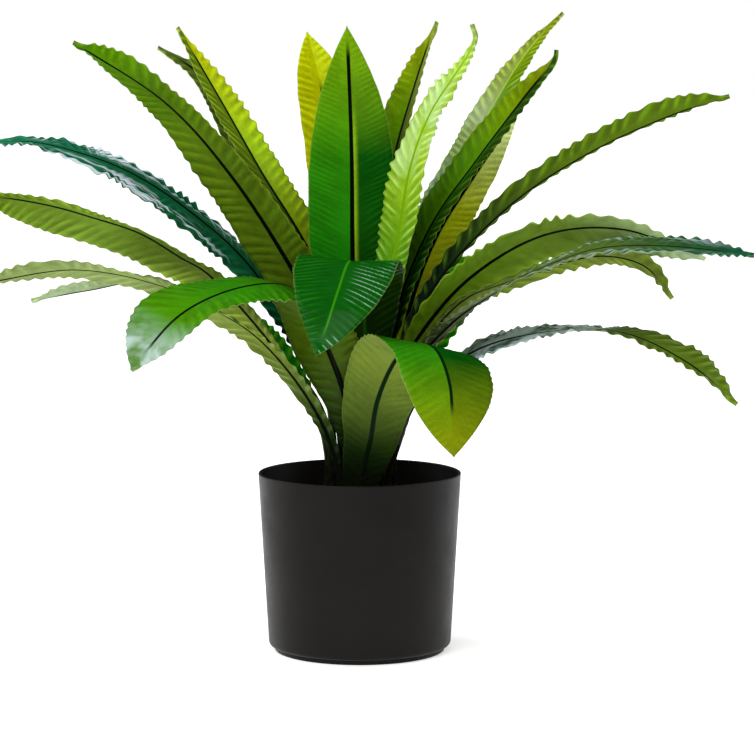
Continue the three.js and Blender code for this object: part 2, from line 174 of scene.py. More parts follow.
FRONDS = {
    "centre_tall": Frond(
        slot="green", seat=(INNER_RING, 95), width=74, fold=8,
        rib=[(-3, 15, 210), (-6, 30, 325), (-7, 46, 418), (-11, 66, 522)],
        faces=[(-90, 10), (-90, 10), (-90, 15)],
        upper="deep grass leaf spring", upper_right="bottle bottle deep spring",
        under="moss olive olive sage", flank="lime", veins=2.1, bands=0.6, streak="leaf", streaks=0.25,
        ruffle=0.7, rib_to=0.93, dark_and_shade_to=0.22,
    ),
    "centre_bowed": Frond(
        slot="green", seat=(INNER_RING, -58), width=82, widest=0.72, narrows=0.72,
        rib=[(5, -14, 195), (5, -24, 263), (2, -48, 310), (-7, -94, 333), (-16, -138, 313),
            (-25, -159, 286), (-33, -169, 265)],
        faces=[(90, 20), (-90, 80), (-90, 30)],
        upper="night bottle deep deep", under="ink moss moss olive", midrib="leaf", rib_size=0.6,
        veins=1.8, bands=0.7, streak="leaf", streaks=0.4, ruffle=1.3, gloss=0.12, glints=0.42,
        glint_side=-1, highlight_span=(0.54, 0.6, 0.9, 1.0),
    ),
    "behind_left": Frond(
        slot="yellow", seat=(MIDDLE_RING, 130), width=47, narrows=0.82,
        rib=[(-11, 49, 255), (-13, 81, 324), (-20, 99, 375), (-33, 130, 465), (-47, 150, 518)],
        faces=[(-75, 10), (-75, 10), (-75, 15)],
        upper="moss bronze gold gold", upper_right="bronze gold gold citron",
        under="olive gold gold gold", veins=1.4, bands=0.8, streak="citron", streaks=0.4, ruffle=0.5,
        rib_to=0.85,
    ),
    "behind_right": Frond(
        slot="lime", seat=(MIDDLE_RING, 72), width=54, narrows=0.66,
        rib=[(13, 44, 267), (28, 84, 400), (48, 112, 472), (67, 146, 527)],
        faces=[(-110, 15, 8), (-149, 19, 22), (-153, 31, 26)],
        upper="deep fern fern bronze", upper_right="deep moss drab khaki", under="olive olive sage sage",
        bands=0.3, streak="gold", streaks=0.3, ruffle=0.3,
    ),
    "lime_upright": Frond(
        slot="lime", seat=(INNER_RING, 20), width=58,
        rib=[(17, -2, 268), (33, -2, 352), (44, 2, 410), (60, 4, 451), (78, 4, 479), (91, 4, 499),
            (96, 4, 512), (93, 4, 523)],
        faces=[(-151, 5), (-150, 13, 8), (-172, -18, 4)],
        upper="leaf leaf lime pear", under="olive spring sage sage", midrib="spring", veins=1.2,
        bands=0.8, streak="cream", streaks=0.4, ruffle=1.6, crumple=0.35, highlight_patches=0.22,
        highlight_span=(0.62, 0.72, 0.82, 0.92), dark_and_shade_to=0.16,
    ),
    "right_high_back": Frond(
        slot="lime", seat=(MIDDLE_RING, 42), width=64,
        rib=[(30, 42, 267), (66, 84, 362), (117, 122, 456), (147, 140, 502), (178, 155, 535)],
        faces=[(-151, 23, 12), (-155, 34), (-152, 46, 8)],
        upper="jade teal sage bronze", upper_right="deep leaf fern bronze", under="olive sage mist mist",
        midrib="pear", rib_size=0.7, veins=1.3, streak="pear", streaks=0.7, ruffle=0.7, crumple=0.2,
        highlight_patches=0.15, highlight_span=(0.45, 0.6, 0.72, 0.84),
    ),
    "right_high": Frond(
        slot="green", seat=(MIDDLE_RING, 4), width=58, fold=9,
        rib=[(28, 0, 269), (59, 2, 354), (99, 4, 412), (136, 4, 461), (162, 4, 495), (163, 4, 502)],
        faces=[(-155, 11, 10), (-156, 35, 14), (-158, -21, 21)],
        upper="night fern fern bronze", upper_right="ink bottle moss moss", under="moss moss olive olive",
        flank="leaf", streaks=0.4, bands=0.6, ruffle=0.6, dark_and_shade_to=0.42,
    ),
    "right_yellow": Frond(
        slot="yellow", seat=(OUTER_RING, 13), width=48,
        rib=[(38, 15, 268), (63, 29, 342), (94, 41, 392), (134, 58, 449)],
        faces=[(-120, 15), (-115, 25), (-115, 25)],
        upper="citron lemon lemon cream", under="citron lemon lemon cream", veins=1.5, bands=0.8,
        streak="lemon", streaks=0.4, crumple=0.2, dark_and_shade_to=0.18,
    ),
    "right_long": Frond(
        slot="green", seat=(OUTER_RING, -7), width=56, fold=17, narrows=0.84,
        rib=[(38, -11, 261), (69, -14, 317), (129, -10, 378), (194, -12, 420), (258, -15, 449),
            (304, -18, 464)],
        faces=[(160, 26, 9), (149, 54, 13), (127, 64, 18)],
        upper="ink night fern fern", under="ink night olive olive", veins=0.7, bands=0.7, streaks=0.8,
        ruffle=0.45, dark_and_shade_to=0.5,
    ),
    "right_arching": Frond(
        slot="olive", seat=(MIDDLE_RING, -34), width=64, fold=-9, narrows=0.72,
        rib=[(21, -20, 214), (45, -32, 262), (88, -54, 316), (149, -78, 354), (210, -105, 360),
            (272, -138, 338)],
        faces=[(126, 33), (102, 58), (42, 47)],
        upper="moss leaf drab mist", under="olive lime pear mist", under_right="spring lime pear mist",
        veins=0.7, bands=0.35, streak="sage", streaks=0.2, ruffle=0.9,
    ),
    "right_edgewise": Frond(
        slot="blue", seat=(OUTER_RING, -68), width=56, fold=4, narrows=0.9,
        rib=[(25, -35, 214), (72, -80, 280), (112, -120, 313), (145, -148, 332), (186, -174, 348),
            (231, -190, 351), (302, -202, 345)],
        faces=[(149, 49, 6), (-176, 64, 3), (-72, 80, 9)],
        upper="ink drab drab jade", under="ink drab sage jade", streak="verdigris", crumple=0.5,
        gloss=0.12, sheen=0.3, highlight_span=(0.4, 0.6, 0.9, 1.0),
    ),
    "right_short": Frond(
        slot="olive", seat=(OUTER_RING, -27), width=48, narrows=0.82,
        rib=[(28, -24, 212), (58, -45, 270), (86, -60, 301), (118, -72, 315), (152, -84, 328),
            (194, -97, 338), (228, -108, 330), (249, -114, 305)],
        faces=[(147, 36, -14), (135, 68, -3), (24, 38, 13)],
        upper="moss leaf olive olive", under="moss khaki khaki khaki", veins=0.8, streaks=0.3, ruffle=0.7,
    ),
    "right_low": Frond(
        slot="blue", seat=(OUTER_RING, -47), width=53, widens=-0.05, narrows=0.8,
        rib=[(31, -26, 174), (47, -28, 213), (84, -62, 252), (131, -104, 274), (203, -160, 282),
            (253, -192, 261), (290, -205, 231)],
        faces=[(-161, 42, 0), (97, 86, 2), (-40, 50, 24)],
        upper="ink pine drab olive", under="ink teal drab olive", streak="sage", streaks=0.3, ruffle=0.85,
        crumple=0.4, gloss=0.12, highlight_patches=0.75, sheen=0.7, highlight_span=(0.2, 0.3, 0.62, 0.74),
    ),
    "front_bowed": Frond(
        slot="green", seat=(OUTER_RING, -92), width=75, widens=-0.35, widest=0.6, narrows=0.74,
        rib=[(5, -37, 165), (9, -44, 182), (15, -56, 217), (31, -82, 255), (46, -108, 268),
            (61, -140, 266), (71, -170, 242), (73, -182, 211), (74, -187, 188)],
        faces=[(90, 10), (-35, 74, -4), (-90, 20)],
        upper="bottle deep deep bronze", upper_right="bottle deep leaf bronze",
        under="moss khaki sage sage", midrib="night", rib_size=0.8, veins=1.6, bands=0.4, streak="leaf",
        streaks=0.15, rib_to=0.86, gloss=0.05, dark_and_shade_to=0.34,
    ),
    "left_broad": Frond(
        slot="olive", seat=(INNER_RING, -135), width=57, widens=-0.03, widest=0.48, narrows=0.84,
        rib=[(-12, -8, 218), (-23, -12, 257), (-52, -28, 317), (-102, -58, 399), (-153, -88, 459),
            (-224, -118, 507)],
        faces=[(72, 4, 4), (70, 22), (63, 30, -9), (56, 39, -9), (42, 53, 1), (55, 54, 26)],
        upper="moss leaf olive olive", under="moss olive olive fern", bands=0.7, streaks=0.3, ruffle=0.7,
        rib_to=0.96,
    ),
    "left_yellow": Frond(
        slot="lime", seat=(INNER_RING, 165), width=58, fold=12, narrows=0.68,
        rib=[(-17, 35, 251), (-40, 50, 324), (-86, 75, 400), (-120, 105, 457), (-159, 128, 522)],
        faces=[(-33, 18), (-29, 36), (-28, 35)],
        upper="moss moss olive olive", upper_right="olive bronze lime gold", under="olive sage sage sage",
        bands=0.8, streak="citron", streaks=0.5, ruffle=0.8,
    ),
    "left_behind": Frond(
        slot="green", seat=(MIDDLE_RING, 160), width=50,
        rib=[(-34, 32, 250), (-60, 74, 319), (-101, 120, 416), (-137, 148, 477), (-179, 168, 505)],
        faces=[(-35, 35), (-35, 35), (-55, 55)],
        upper="moss leaf drab drab", under="olive drab sage sage", streaks=0.3, ruffle=0.5,
    ),
    "left_blue": Frond(
        slot="blue", seat=(MIDDLE_RING, -171), width=58, fold=-4, narrows=0.76,
        rib=[(-27, 4, 212), (-45, 5, 247), (-92, 2, 323), (-143, -3, 370), (-183, -6, 397),
            (-219, -10, 413), (-271, -14, 426), (-316, -17, 424)],
        faces=[(-19, 28, -6), (-30, 52), (-118, 84, 10)],
        upper="night jade jade verdigris", under="ink jade jade verdigris", streak="verdigris",
        ruffle=1.4, crumple=0.6, gloss=0.06, sheen=0.9, glints=0.8, highlight_span=(0.45, 0.6, 0.95, 1.0),
    ),
    "left_long": Frond(
        slot="olive", seat=(OUTER_RING, -168), width=64, fold=-20, widens=0.12, narrows=0.8,
        rib=[(-32, -4, 192), (-121, -26, 316), (-147, -38, 334), (-178, -52, 354), (-216, -68, 368),
            (-248, -82, 378), (-286, -95, 385), (-307, -100, 385)],
        faces=[(36, 35, -4), (59, 59, -18), (104, 63, -11)],
        upper="moss olive spring olive", under="moss khaki pear olive", streak="lime", streaks=0.5,
        ruffle=0.55,
    ),
    "left_low": Frond(
        slot="olive", seat=(OUTER_RING, -120), width=56, widens=-0.05, widest=0.52, narrows=0.84,
        rib=[(-20, -29, 168), (-42, -48, 218), (-80, -76, 269), (-108, -87, 290), (-159, -100, 315),
            (-223, -125, 329), (-280, -146, 322), (-298, -151, 318)],
        faces=[(35, 39, -3), (31, 60, -9), (75, 74, -3), (133, 64, 15)],
        upper="moss leaf sage mist", under="moss khaki sage sage", veins=0.8, bands=0.5, streak="mist",
        streaks=0.4, ruffle=0.45, rib_to=0.97,
    ),
    "left_short": Frond(
        slot="green", seat=(OUTER_RING, -144), width=48, widens=0.25, widest=0.75, narrows=0.86,
        rib=[(-28, -24, 196), (-54, -40, 240), (-118, -44, 283), (-170, -50, 313), (-220, -67, 308),
            (-263, -88, 301)],
        faces=[(40, 42, 0), (24, 60, 8), (138, 66, 15)],
        upper="moss drab khaki sage", under="ink khaki sage mist", bands=0.5, streak="mist", streaks=0.3,
        ruffle=0.5,
    ),
    "front_left_bowed": Frond(
        slot="green", seat=(MIDDLE_RING, -96), width=78, fold=7, widens=-0.1, widest=0.6, narrows=0.86,
        rib=[(-6, -29, 181), (-13, -40, 222), (-25, -54, 258), (-38, -72, 290), (-55, -92, 312),
            (-93, -135, 315), (-138, -175, 296), (-174, -196, 256)],
        faces=[(95, 13, 0), (86, 25, 0), (30, 46, -4), (-73, 80, -3), (-122, 62, 14), (-131, 44, 14)],
        upper="deep moss leaf fern", veins=1.2, bands=0.6, streak="fern",
        streaks=0.5, ruffle=0.9, gloss=0.1, highlight_patches=0.85, highlight_span=(0.86, 1.0, 1.1, 1.2),
    ),
    "back_low_1": Frond(
        slot="green", seat=(OUTER_RING, 36), width=46, widens=0.1,
        rib=[(35, 23, 200), (80, 52, 280), (124, 88, 320), (158, 120, 320)],
        faces=[(-145, 45), (-145, 75), (35, 75)],
        upper="moss grass leaf leaf",
    ),
    "back_low_2": Frond(
        slot="olive", seat=(OUTER_RING, 62), width=50, widens=0.1,
        rib=[(21, 36, 205), (48, 80, 288), (76, 130, 320), (100, 176, 312)],
        faces=[(-114, 45), (-114, 75), (66, 75)],
        upper="moss olive leaf leaf",
    ),
    "back_high": Frond(
        slot="green", seat=(MIDDLE_RING, 101), width=50, widens=0.22,
        rib=[(1, 37, 200), (1, 66, 275), (2, 112, 345), (4, 168, 380)],
        faces=[(-90, 30), (-90, 50), (-90, 70)],
        upper="deep grass leaf spring", ruffle=0.8,
    ),
    "back_low_3": Frond(
        slot="green", seat=(OUTER_RING, 90), width=46, widens=0.1,
        rib=[(0, 48, 195), (0, 110, 258), (-2, 165, 284), (-4, 215, 272)],
        faces=[(-90, 45), (-90, 75), (90, 75)],
        upper="deep grass grass leaf",
    ),
    "back_low_4": Frond(
        slot="lime", seat=(OUTER_RING, 118), width=50, widens=0.1,
        rib=[(-21, 36, 205), (-48, 80, 286), (-78, 130, 316), (-102, 176, 306)],
        faces=[(-66, 45), (-66, 75), (114, 75)],
        upper="moss spring spring lime",
    ),
    "back_low_5": Frond(
        slot="green", seat=(OUTER_RING, 147), width=48, widens=0.1,
        rib=[(-36, 23, 195), (-82, 48, 258), (-132, 80, 288), (-180, 114, 285)],
        faces=[(-33, 45), (-33, 75), (147, 75)],
        upper="moss grass leaf leaf",
    ),
}


def linear(tint):
    """A tint's red, green and blue as linear light, by the usual formula for screens."""
    parts = [int(tint[i:i + 2], 16) / 255 for i in (1, 3, 5)]
    return [c / 12.92 if c <= 0.04045 else ((c + 0.055) / 1.055) ** 2.4 for c in parts]


def mix(a, b, share):
    return a + (b - a) * share


def rise(value, start, end):
    """0 before start, 1 after end, and a smooth rise between them."""
    share = min(max((value - start) / (end - start), 0), 1)
    return share * share * (3 - 2 * share)


def direction(azimuth, elevation):
    a, e = math.radians(azimuth), math.radians(elevation)
    return Vector((math.cos(e) * math.cos(a), math.cos(e) * math.sin(a), math.sin(e)))


def around(out, turn):
    """The place at a distance from the axis and a turn round it."""
    return out * math.cos(turn), out * math.sin(turn)


def between(stops, share):
    """The stop before a share, the one after it, and how far on the share lies between them."""
    reach = share * (len(stops) - 1)
    before = min(int(reach), len(stops) - 2)
    return stops[before], stops[before + 1], reach - before


def only(kind, parts):
    """The parts of a bmesh that are of one kind."""
    return [part for part in parts if isinstance(part, kind)]


def finished(bm, name, material, smooth=True):
    """Makes the bmesh an object at the origin and gives it its finish."""
    mesh = bpy.data.meshes.new(name)
    for face in bm.faces:
        face.smooth = smooth
    bm.to_mesh(mesh)
    bm.free()
    mesh.materials.append(material)
    piece = bpy.data.objects.new(name, mesh)
    bpy.context.scene.collection.objects.link(piece)
    return piece


class Shader:
    """A material's node tree, with a short call for each kind of node that the finishes use."""

    # The Mix node's sockets for colours
    COLOUR_INPUTS = (6, 7)
    COLOUR_OUTPUT = 2
    # Most of a noise's values lie between these
    NOISE_SPAN = (0.3, 0.7)

    def __init__(self, name):
        self.material = bpy.data.materials.new(name)
        self.material.use_nodes = True
        self.tree = self.material.node_tree
        self.surface = self.tree.nodes["Principled BSDF"]

    def give(self, value, socket):
        """Links a socket's value to a socket, or sets it to a number or colour."""
        if isinstance(value, bpy.types.NodeSocket):
            self.tree.links.new(value, socket)
        else:
            socket.default_value = value

    def node(self, kind, inputs=None, **settings):
        made = self.tree.nodes.new(kind)
        for key, value in settings.items():
            setattr(made, key, value)
        for key, value in (inputs or {}).items():
            self.give(value, made.inputs[key])
        return made

    def math(self, operation, a, b=0.0):
        return self.node("ShaderNodeMath", {0: a, 1: b}, operation=operation).outputs[0]

    def times(self, first, *others):
        for other in others:
            first = self.math("MULTIPLY", first, other)
        return first

    def plus(self, first, *others):
        for other in others:
            first = self.math("ADD", first, other)
        return first

    def read(self, name):
        """One number that the mesh carries at each corner."""
        return self.node("ShaderNodeAttribute", attribute_name=name).outputs["Fac"]

    def vector(self, x, y, z):
        return self.node("ShaderNodeCombineXYZ", {"X": x, "Y": y, "Z": z}).outputs[0]

    def grey(self, value):
        return self.node("ShaderNodeCombineColor", {0: value, 1: value, 2: value}).outputs[0]

    def noise(self, scale, detail=3.0, roughness=0.5, vector=None):
        """Cloudy noise over the piece, or over a vector of its own."""
        place = vector or self.node("ShaderNodeTexCoord").outputs["Object"]
        inputs = {"Vector": place, "Scale": scale, "Detail": detail, "Roughness": roughness}
        return self.node("ShaderNodeTexNoise", inputs).outputs["Fac"]

    def spread(self, value, low, high, to_low=0.0, to_high=1.0):
        """Maps low..high smoothly to to_low..to_high."""
        inputs = {"Value": value, "From Min": low, "From Max": high, "To Min": to_low, "To Max": to_high}
        return self.node("ShaderNodeMapRange", inputs, interpolation_type="SMOOTHSTEP").outputs["Result"]

    def blend(self, share, a, b, way="MIX"):
        made = self.node("ShaderNodeMix", {0: share}, data_type="RGBA", blend_type=way)
        for index, value in zip(self.COLOUR_INPUTS, (a, b)):
            plain = not isinstance(value, bpy.types.NodeSocket)
            self.give((*value, 1.0) if plain else value, made.inputs[index])
        return made.outputs[self.COLOUR_OUTPUT]

    def ramp(self, value, positions, tints):
        made = self.node("ShaderNodeValToRGB", {0: value})
        stretch = made.color_ramp
        while len(stretch.elements) < len(tints):
            stretch.elements.new(0.5)
        for element, position, tint in zip(stretch.elements, positions, tints):
            element.position = position
            element.color = (*linear(tint), 1.0)
        return made.outputs["Color"]

    def bump(self, height, distance, strength=1.0):
        made = self.node("ShaderNodeBump", {"Height": height, "Distance": distance, "Strength": strength})
        self.tree.links.new(made.outputs["Normal"], self.surface.inputs["Normal"])

    def set(self, **values):
        """Sets or links the surface's own sockets, with _ for a space in their names."""
        for key, value in values.items():
            self.give(value, self.surface.inputs[key.replace("_", " ")])


class LeafFinish(Shader):
    """A leaf's finish, laid on in layers over what its mesh carries: tints from stalk to tip, painted light
    and shade over each corrugation, painted highlights, a pale edge, a midrib, and a stalk darkened by its
    own colour and by painted shade."""

    # Shares of the length that a row of tints lies at
    TINTS_AT = (0.14, 0.42, 0.72, 0.97)

    # Where each layer begins and ends, and its strength at both ends where that isn't 0 and 1: first over the
    # width, from -1 at the left edge to 1 at the right
    SEAM = (-0.03, 0.03)
    FLANK_SIDE = (0.0, 0.05)
    GLINT_SIDE = (0.12, 0.4)
    # Over the half width, from the midrib to the edge
    BANDS_RISE = 0.5
    BANDS_INSIDE = 0.1
    SHEEN_OUTSIDE = (0.2, 0.75)
    PALE_EDGE = (0.955, 1.0)
    # Over the length
    FLANK_FADE = (0.72, 0.88, 1.0, 0.0)
    MIDRIB_TAPER = (0.1, 0.95)
    MIDRIB_FADE = 0.05
    STALK_END = 0.05
    # Over the distance from the midrib's middle, for its half width
    MIDRIB_EDGE = (0.7, 1.1)
    # Over the corrugations' height, from -1 to 1
    CREST = (0.1, 0.95)
    GLINT_CREST = (0.78, 1.0)
    # Over the noises
    BROAD_BANDS = (0.3, 0.6, 0.3, 1.0)
    BROAD_LIGHT = (0.25, 0.6)
    BROAD_HIGHLIGHT = (0.3, 0.6, 0.45, 1.0)
    BROAD_GLINTS = (0.32, 0.52)
    PATCH_HIGHLIGHT = (0.42, 0.56, 0.12, 1.0)
    PATCH_GLINTS = (0.47, 0.6)
    SHEEN_STRIPS = (0.5, 0.56)

    # How the noise of the painted sheen's lengthwise strips is stretched, scaled and set apart from the
    # others
    SHEEN_ALONG = 0.12
    SHEEN_ACROSS = 3.0
    SHEEN_SCALE = 1.6
    SHEEN_SHIFT = 5

    # Millimetres from the midrib's middle where the flank's tint begins to fade
    FLANK_FULL = 1.5
    # How much less and more dull the patches are, and the scale and share of the grain in the relief
    DULL_PATCHES = (-0.05, 0.07)
    GRAIN_SCALE = 1400.0
    GRAIN_SHARE = 0.3

    def __init__(self, name, frond, seed, colours):
        super().__init__(name)
        self.frond = frond
        self.seed = seed
        self.colours = colours
        self.along, self.across, self.turns, self.from_rib, self.is_upper = map(self.read, CARRIED)
        self.reach = self.math("ABSOLUTE", self.across)
        flow = self.vector(self.turns, self.times(self.across, colours.streak_length), seed)
        self.broad = self.noise(colours.broad_streaks, detail=2.0, vector=flow)
        self.fine = self.noise(colours.fine_streaks * frond.veins, detail=2.0, vector=flow)
        self.patches = self.noise(colours.patch_scale)
        self.ridge = self.math("SINE", self.times(self.turns, math.tau))
        colour = self.blend(self.is_upper, self.face(frond.under, frond.under_right),
                            self.face(frond.upper, frond.upper_right))
        layers = ((frond.flank, self.flank), (True, self.bands), (frond.highlight_patches, self.highlight_patches),
                  (frond.sheen, self.sheen), (frond.glints, self.glints), (True, self.edge),
                  (True, self.midrib), (True, self.stalk))
        for wanted, layer in layers:
            if wanted:
                colour = layer(colour)
        self.gloss(colour)

    def tinted(self, tints):
        return self.ramp(self.along, self.TINTS_AT, [TINTS[tint] for tint in tints.split()])

    def face(self, left, right):
        if not right:
            return self.tinted(left)
        return self.blend(self.spread(self.across, *self.SEAM), self.tinted(left), self.tinted(right))

    def over(self, colour, strength, tint):
        return self.blend(strength, colour, linear(TINTS[tint]))

    def flank(self, colour):
        """The tint beside the midrib on the right half."""
        near = self.spread(self.from_rib, self.FLANK_FULL * MM, self.colours.flank_width, 1.0, 0.0)
        right = self.spread(self.across, *self.FLANK_SIDE, 0.0, self.colours.flank_strength)
        fade = self.spread(self.along, *self.FLANK_FADE)
        return self.over(colour, self.times(near, right, fade), self.frond.flank)

    def bands(self, colour):
        """A painted highlight on the crests, then painted light and shade over the corrugations, and the tone
        of the fine veins, broad streaks and patches.
        """
        colours = self.colours
        start = colours.bands_from
        outer = self.spread(self.reach, start, start + self.BANDS_RISE, self.BANDS_INSIDE, 1.0)
        outer = self.times(outer, self.spread(self.broad, *self.BROAD_BANDS))
        # The crests' painted highlight, in the frond's crest tint
        crest = self.times(self.spread(self.ridge, *self.CREST), outer,
                           colours.streak_strength * self.frond.streaks)
        colour = self.over(colour, crest, self.frond.streak)
        # Painted light and shade: lighter on each corrugation's crest, darker in its trough
        lit = self.times(self.ridge, outer, colours.band_contrast * self.frond.bands)
        for pattern, span, contrast in ((self.fine, self.NOISE_SPAN, colours.vein_contrast),
                                        (self.broad, self.BROAD_LIGHT, colours.streak_contrast),
                                        (self.patches, self.NOISE_SPAN, colours.patch_contrast)):
            lit = self.plus(lit, self.spread(pattern, *span, -contrast, contrast))
        return self.blend(1.0, colour, self.grey(self.plus(lit, 1.0)), "MULTIPLY")

    def spanned(self, pale, strength):
        """A painted highlight that rises to its strength and fades along the frond."""
        rises, full, fades, gone = self.frond.highlight_span
        return self.times(pale, self.spread(self.along, rises, full, 0.0, strength),
                          self.spread(self.along, fades, gone, 1.0, 0.0))

    def highlight_patches(self, colour):
        """Painted highlight in pale patches."""
        pale = self.times(self.spread(self.broad, *self.BROAD_HIGHLIGHT),
                          self.spread(self.patches, *self.PATCH_HIGHLIGHT))
        return self.over(colour, self.spanned(pale, self.frond.highlight_patches), "highlight_white")

    def sheen(self, colour):
        """Painted sheen: pale strips of painted reflection that run lengthwise, near the edges."""
        lengthwise = self.vector(self.times(self.turns, self.SHEEN_ALONG),
                                 self.times(self.across, self.SHEEN_ACROSS), self.seed + self.SHEEN_SHIFT)
        strips = self.noise(self.SHEEN_SCALE, detail=3.0, roughness=0.6, vector=lengthwise)
        strips = self.times(self.spread(strips, *self.SHEEN_STRIPS),
                            self.spread(self.reach, *self.SHEEN_OUTSIDE))
        return self.over(colour, self.spanned(strips, self.frond.sheen), "highlight_white")

    def glints(self, colour):
        """Painted glints: thin highlight lines along the crests of one half."""
        side = self.times(self.across, self.frond.glint_side)
        lines = self.times(self.spread(self.ridge, *self.GLINT_CREST),
                           self.spread(self.patches, *self.PATCH_GLINTS),
                           self.spread(self.broad, *self.BROAD_GLINTS),
                           self.spread(self.along, *self.frond.highlight_span[:2]),
                           self.spread(side, *self.GLINT_SIDE, 0.0, self.frond.glints))
        return self.over(colour, lines, "highlight_white")

    def edge(self, colour):
        pale = self.spread(self.reach, *self.PALE_EDGE, 0.0, self.colours.edge_strength)
        return self.blend(pale, colour, self.colours.edge_tint[:])

    def midrib(self, colour):
        size = self.frond.rib_size
        width = self.spread(self.along, *self.MIDRIB_TAPER, self.colours.rib_at_stalk * size,
                            self.colours.rib_at_tip * size)
        beside = self.spread(self.math("DIVIDE", self.from_rib, width), *self.MIDRIB_EDGE)
        end = self.frond.rib_to
        fade = self.spread(self.along, end, end + self.MIDRIB_FADE, 1.0, 0.0)
        return self.over(colour, self.times(self.math("SUBTRACT", 1.0, beside), fade), self.frond.midrib)

    def stalk(self, colour):
        # The stalk's own near-black colour, with painted shade low in the bundle where the fronds crowd
        dark = self.spread(self.along, self.STALK_END, self.frond.dark_and_shade_to, self.colours.stalk_dark_and_shade, 0.0)
        return self.blend(dark, colour, self.colours.stalk_tint[:])

    def gloss(self, colour):
        """The surface's dullness, more below and in patches, and the relief of its fine veins."""
        colours = self.colours
        rough = self.plus(self.spread(self.patches, *self.NOISE_SPAN, *self.DULL_PATCHES),
                          self.spread(self.is_upper, 0.0, 1.0, colours.under_roughness,
                                      colours.upper_roughness))
        self.set(Base_Color=colour, Roughness=rough, Coat_Weight=self.frond.gloss,
                 Specular_IOR_Level=colours.specular, Coat_Roughness=colours.coat_roughness)
        grain = self.times(self.noise(self.GRAIN_SCALE, detail=2.0), self.GRAIN_SHARE)
        self.bump(self.plus(self.fine, grain), colours.vein_relief)


def pot_material(planter):
    """Satin, nearly black brown moulding with a faint grain and dulled patches."""
    shader = Shader("planter_finish")
    dark, light = (linear(tint) for tint in DARK_AND_LIGHT["planter"])
    cloud = shader.noise(scale=14.0, detail=4.0, roughness=0.6)
    colour = shader.blend(shader.spread(cloud, *shader.NOISE_SPAN), dark, light)
    wear = shader.noise(scale=40.0, detail=5.0, roughness=0.7)
    rough = shader.spread(wear, low=0.25, high=0.75, to_low=planter.roughness - 0.05,
                          to_high=planter.roughness + 0.06)
    shader.set(Base_Color=colour, Roughness=rough, Specular_IOR_Level=0.13)
    shader.bump(shader.noise(scale=900.0), distance=0.12 * MM, strength=0.5)
    return shader.material


def earth_material(name, kind, scale):
    """Crumbly stuff: two browns in clods, finer specks and a rough grain."""
    shader = Shader(name)
    clods = shader.noise(scale, detail=6.0, roughness=0.65)
    specks = shader.noise(scale * 5, detail=2.0)
    colour = shader.ramp(clods, (0.32, 0.7), DARK_AND_LIGHT[kind])
    colour = shader.blend(shader.spread(specks, 0.62, 0.7, to_high=0.5), colour, linear(EARTH_SPECKS))
    shader.set(Base_Color=colour, Roughness=0.92, Specular_IOR_Level=0.2)
    shader.bump(shader.noise(scale * 9, detail=4.0, roughness=0.7), distance=0.6 * MM)
    return shader.material


def speck_material():
    """The pale mineral bits among the potting soil."""
    shader = Shader("mineral_bits")
    colour = shader.ramp(shader.noise(scale=300.0), shader.NOISE_SPAN, DARK_AND_LIGHT["mineral"])
    shader.set(Base_Color=colour, Roughness=0.8)
    shader.bump(shader.noise(scale=2000.0), distance=0.2 * MM)
    return shader.material


def scale_material():
    """Fine dry brown scales, paler to their tips."""
    shader = Shader("crown_scales")
    colour = shader.ramp(shader.read("along"), (0.0, 1.0), DARK_AND_LIGHT["scales"])
    spots = shader.spread(shader.noise(scale=220.0), 0.35, 0.65, to_high=0.6)
    colour = shader.blend(spots, colour, linear(SCALE_SPOTS))
    shader.set(Base_Color=colour, Roughness=0.7, Specular_IOR_Level=0.3)
    shader.bump(shader.noise(scale=1800.0, detail=2.0), distance=0.1 * MM)
    return shader.material


def floor_material(stage):
    """Plain pale paper that gives a little light of its own."""
    shader = Shader("pale_floor")
    cloud = shader.noise(scale=3.0, detail=2.0)
    tone = shader.spread(cloud, *shader.NOISE_SPAN, to_low=-0.004, to_high=0.004)
    shader.set(Base_Color=shader.grey(shader.plus(tone, stage.floor_tone)), Roughness=0.7,
               Specular_IOR_Level=0.1, Emission_Color=(1.0, 1.0, 1.0, 1.0),
               Emission_Strength=stage.floor_glow)
    return shader.material


def spun(bm, outline, steps):
    """Turns an outline of (radius, height) points, in metres, round the Z axis into a closed body."""
    verts = [bm.verts.new((radius, 0, height)) for radius, height in outline]
    edges = [bm.edges.new(pair) for pair in zip(verts, verts[1:])]
    bmesh.ops.spin(bm, geom=verts + edges, cent=(0, 0, 0), axis=(0, 0, 1), angle=math.tau, steps=steps,
                   use_merge=True)
    bmesh.ops.remove_doubles(bm, verts=bm.verts, dist=0.001 * MM)
    bmesh.ops.recalc_face_normals(bm, faces=bm.faces)


def rounded(corner, before, after, radius, steps):
    """The points of a bend that takes a corner's place, from the leg before it to the leg after."""
    corner, before, after = Vector(corner), Vector(before), Vector(after)
    start = corner + (before - corner).normalized() * radius
    end = corner + (after - corner).normalized() * radius
    shares = [i / steps for i in range(steps + 1)]
    return [tuple(start * (1 - t) ** 2 + corner * (2 * t * (1 - t)) + end * t * t) for t in shares]


def planter_outline(planter):
    """The planter's section from the axis under its floor, up its wall and down inside to the axis again."""
    rim = POT_HIGH.x
    top = POT_HIGH.z
    corners = [
        ((0, 0), 0),
        ((planter.foot_radius, 0), planter.foot_round),
        ((planter.foot_radius, planter.foot_height), planter.step_round),
        ((planter.wall_foot_radius, planter.foot_height), planter.corner_radius),
        ((rim, top), planter.lip_round),
        ((rim - planter.wall, top), planter.lip_round),
        ((planter.wall_foot_radius - planter.wall, planter.floor_top), planter.floor_round),
        ((0, planter.floor_top), 0),
    ]
    outline = []
    for i, (corner, radius) in enumerate(corners):
        if radius:
            outline += rounded(corner, corners[i - 1][0], corners[i + 1][0], radius, planter.corner_steps)
        else:
            outline.append(corner)
    return outline


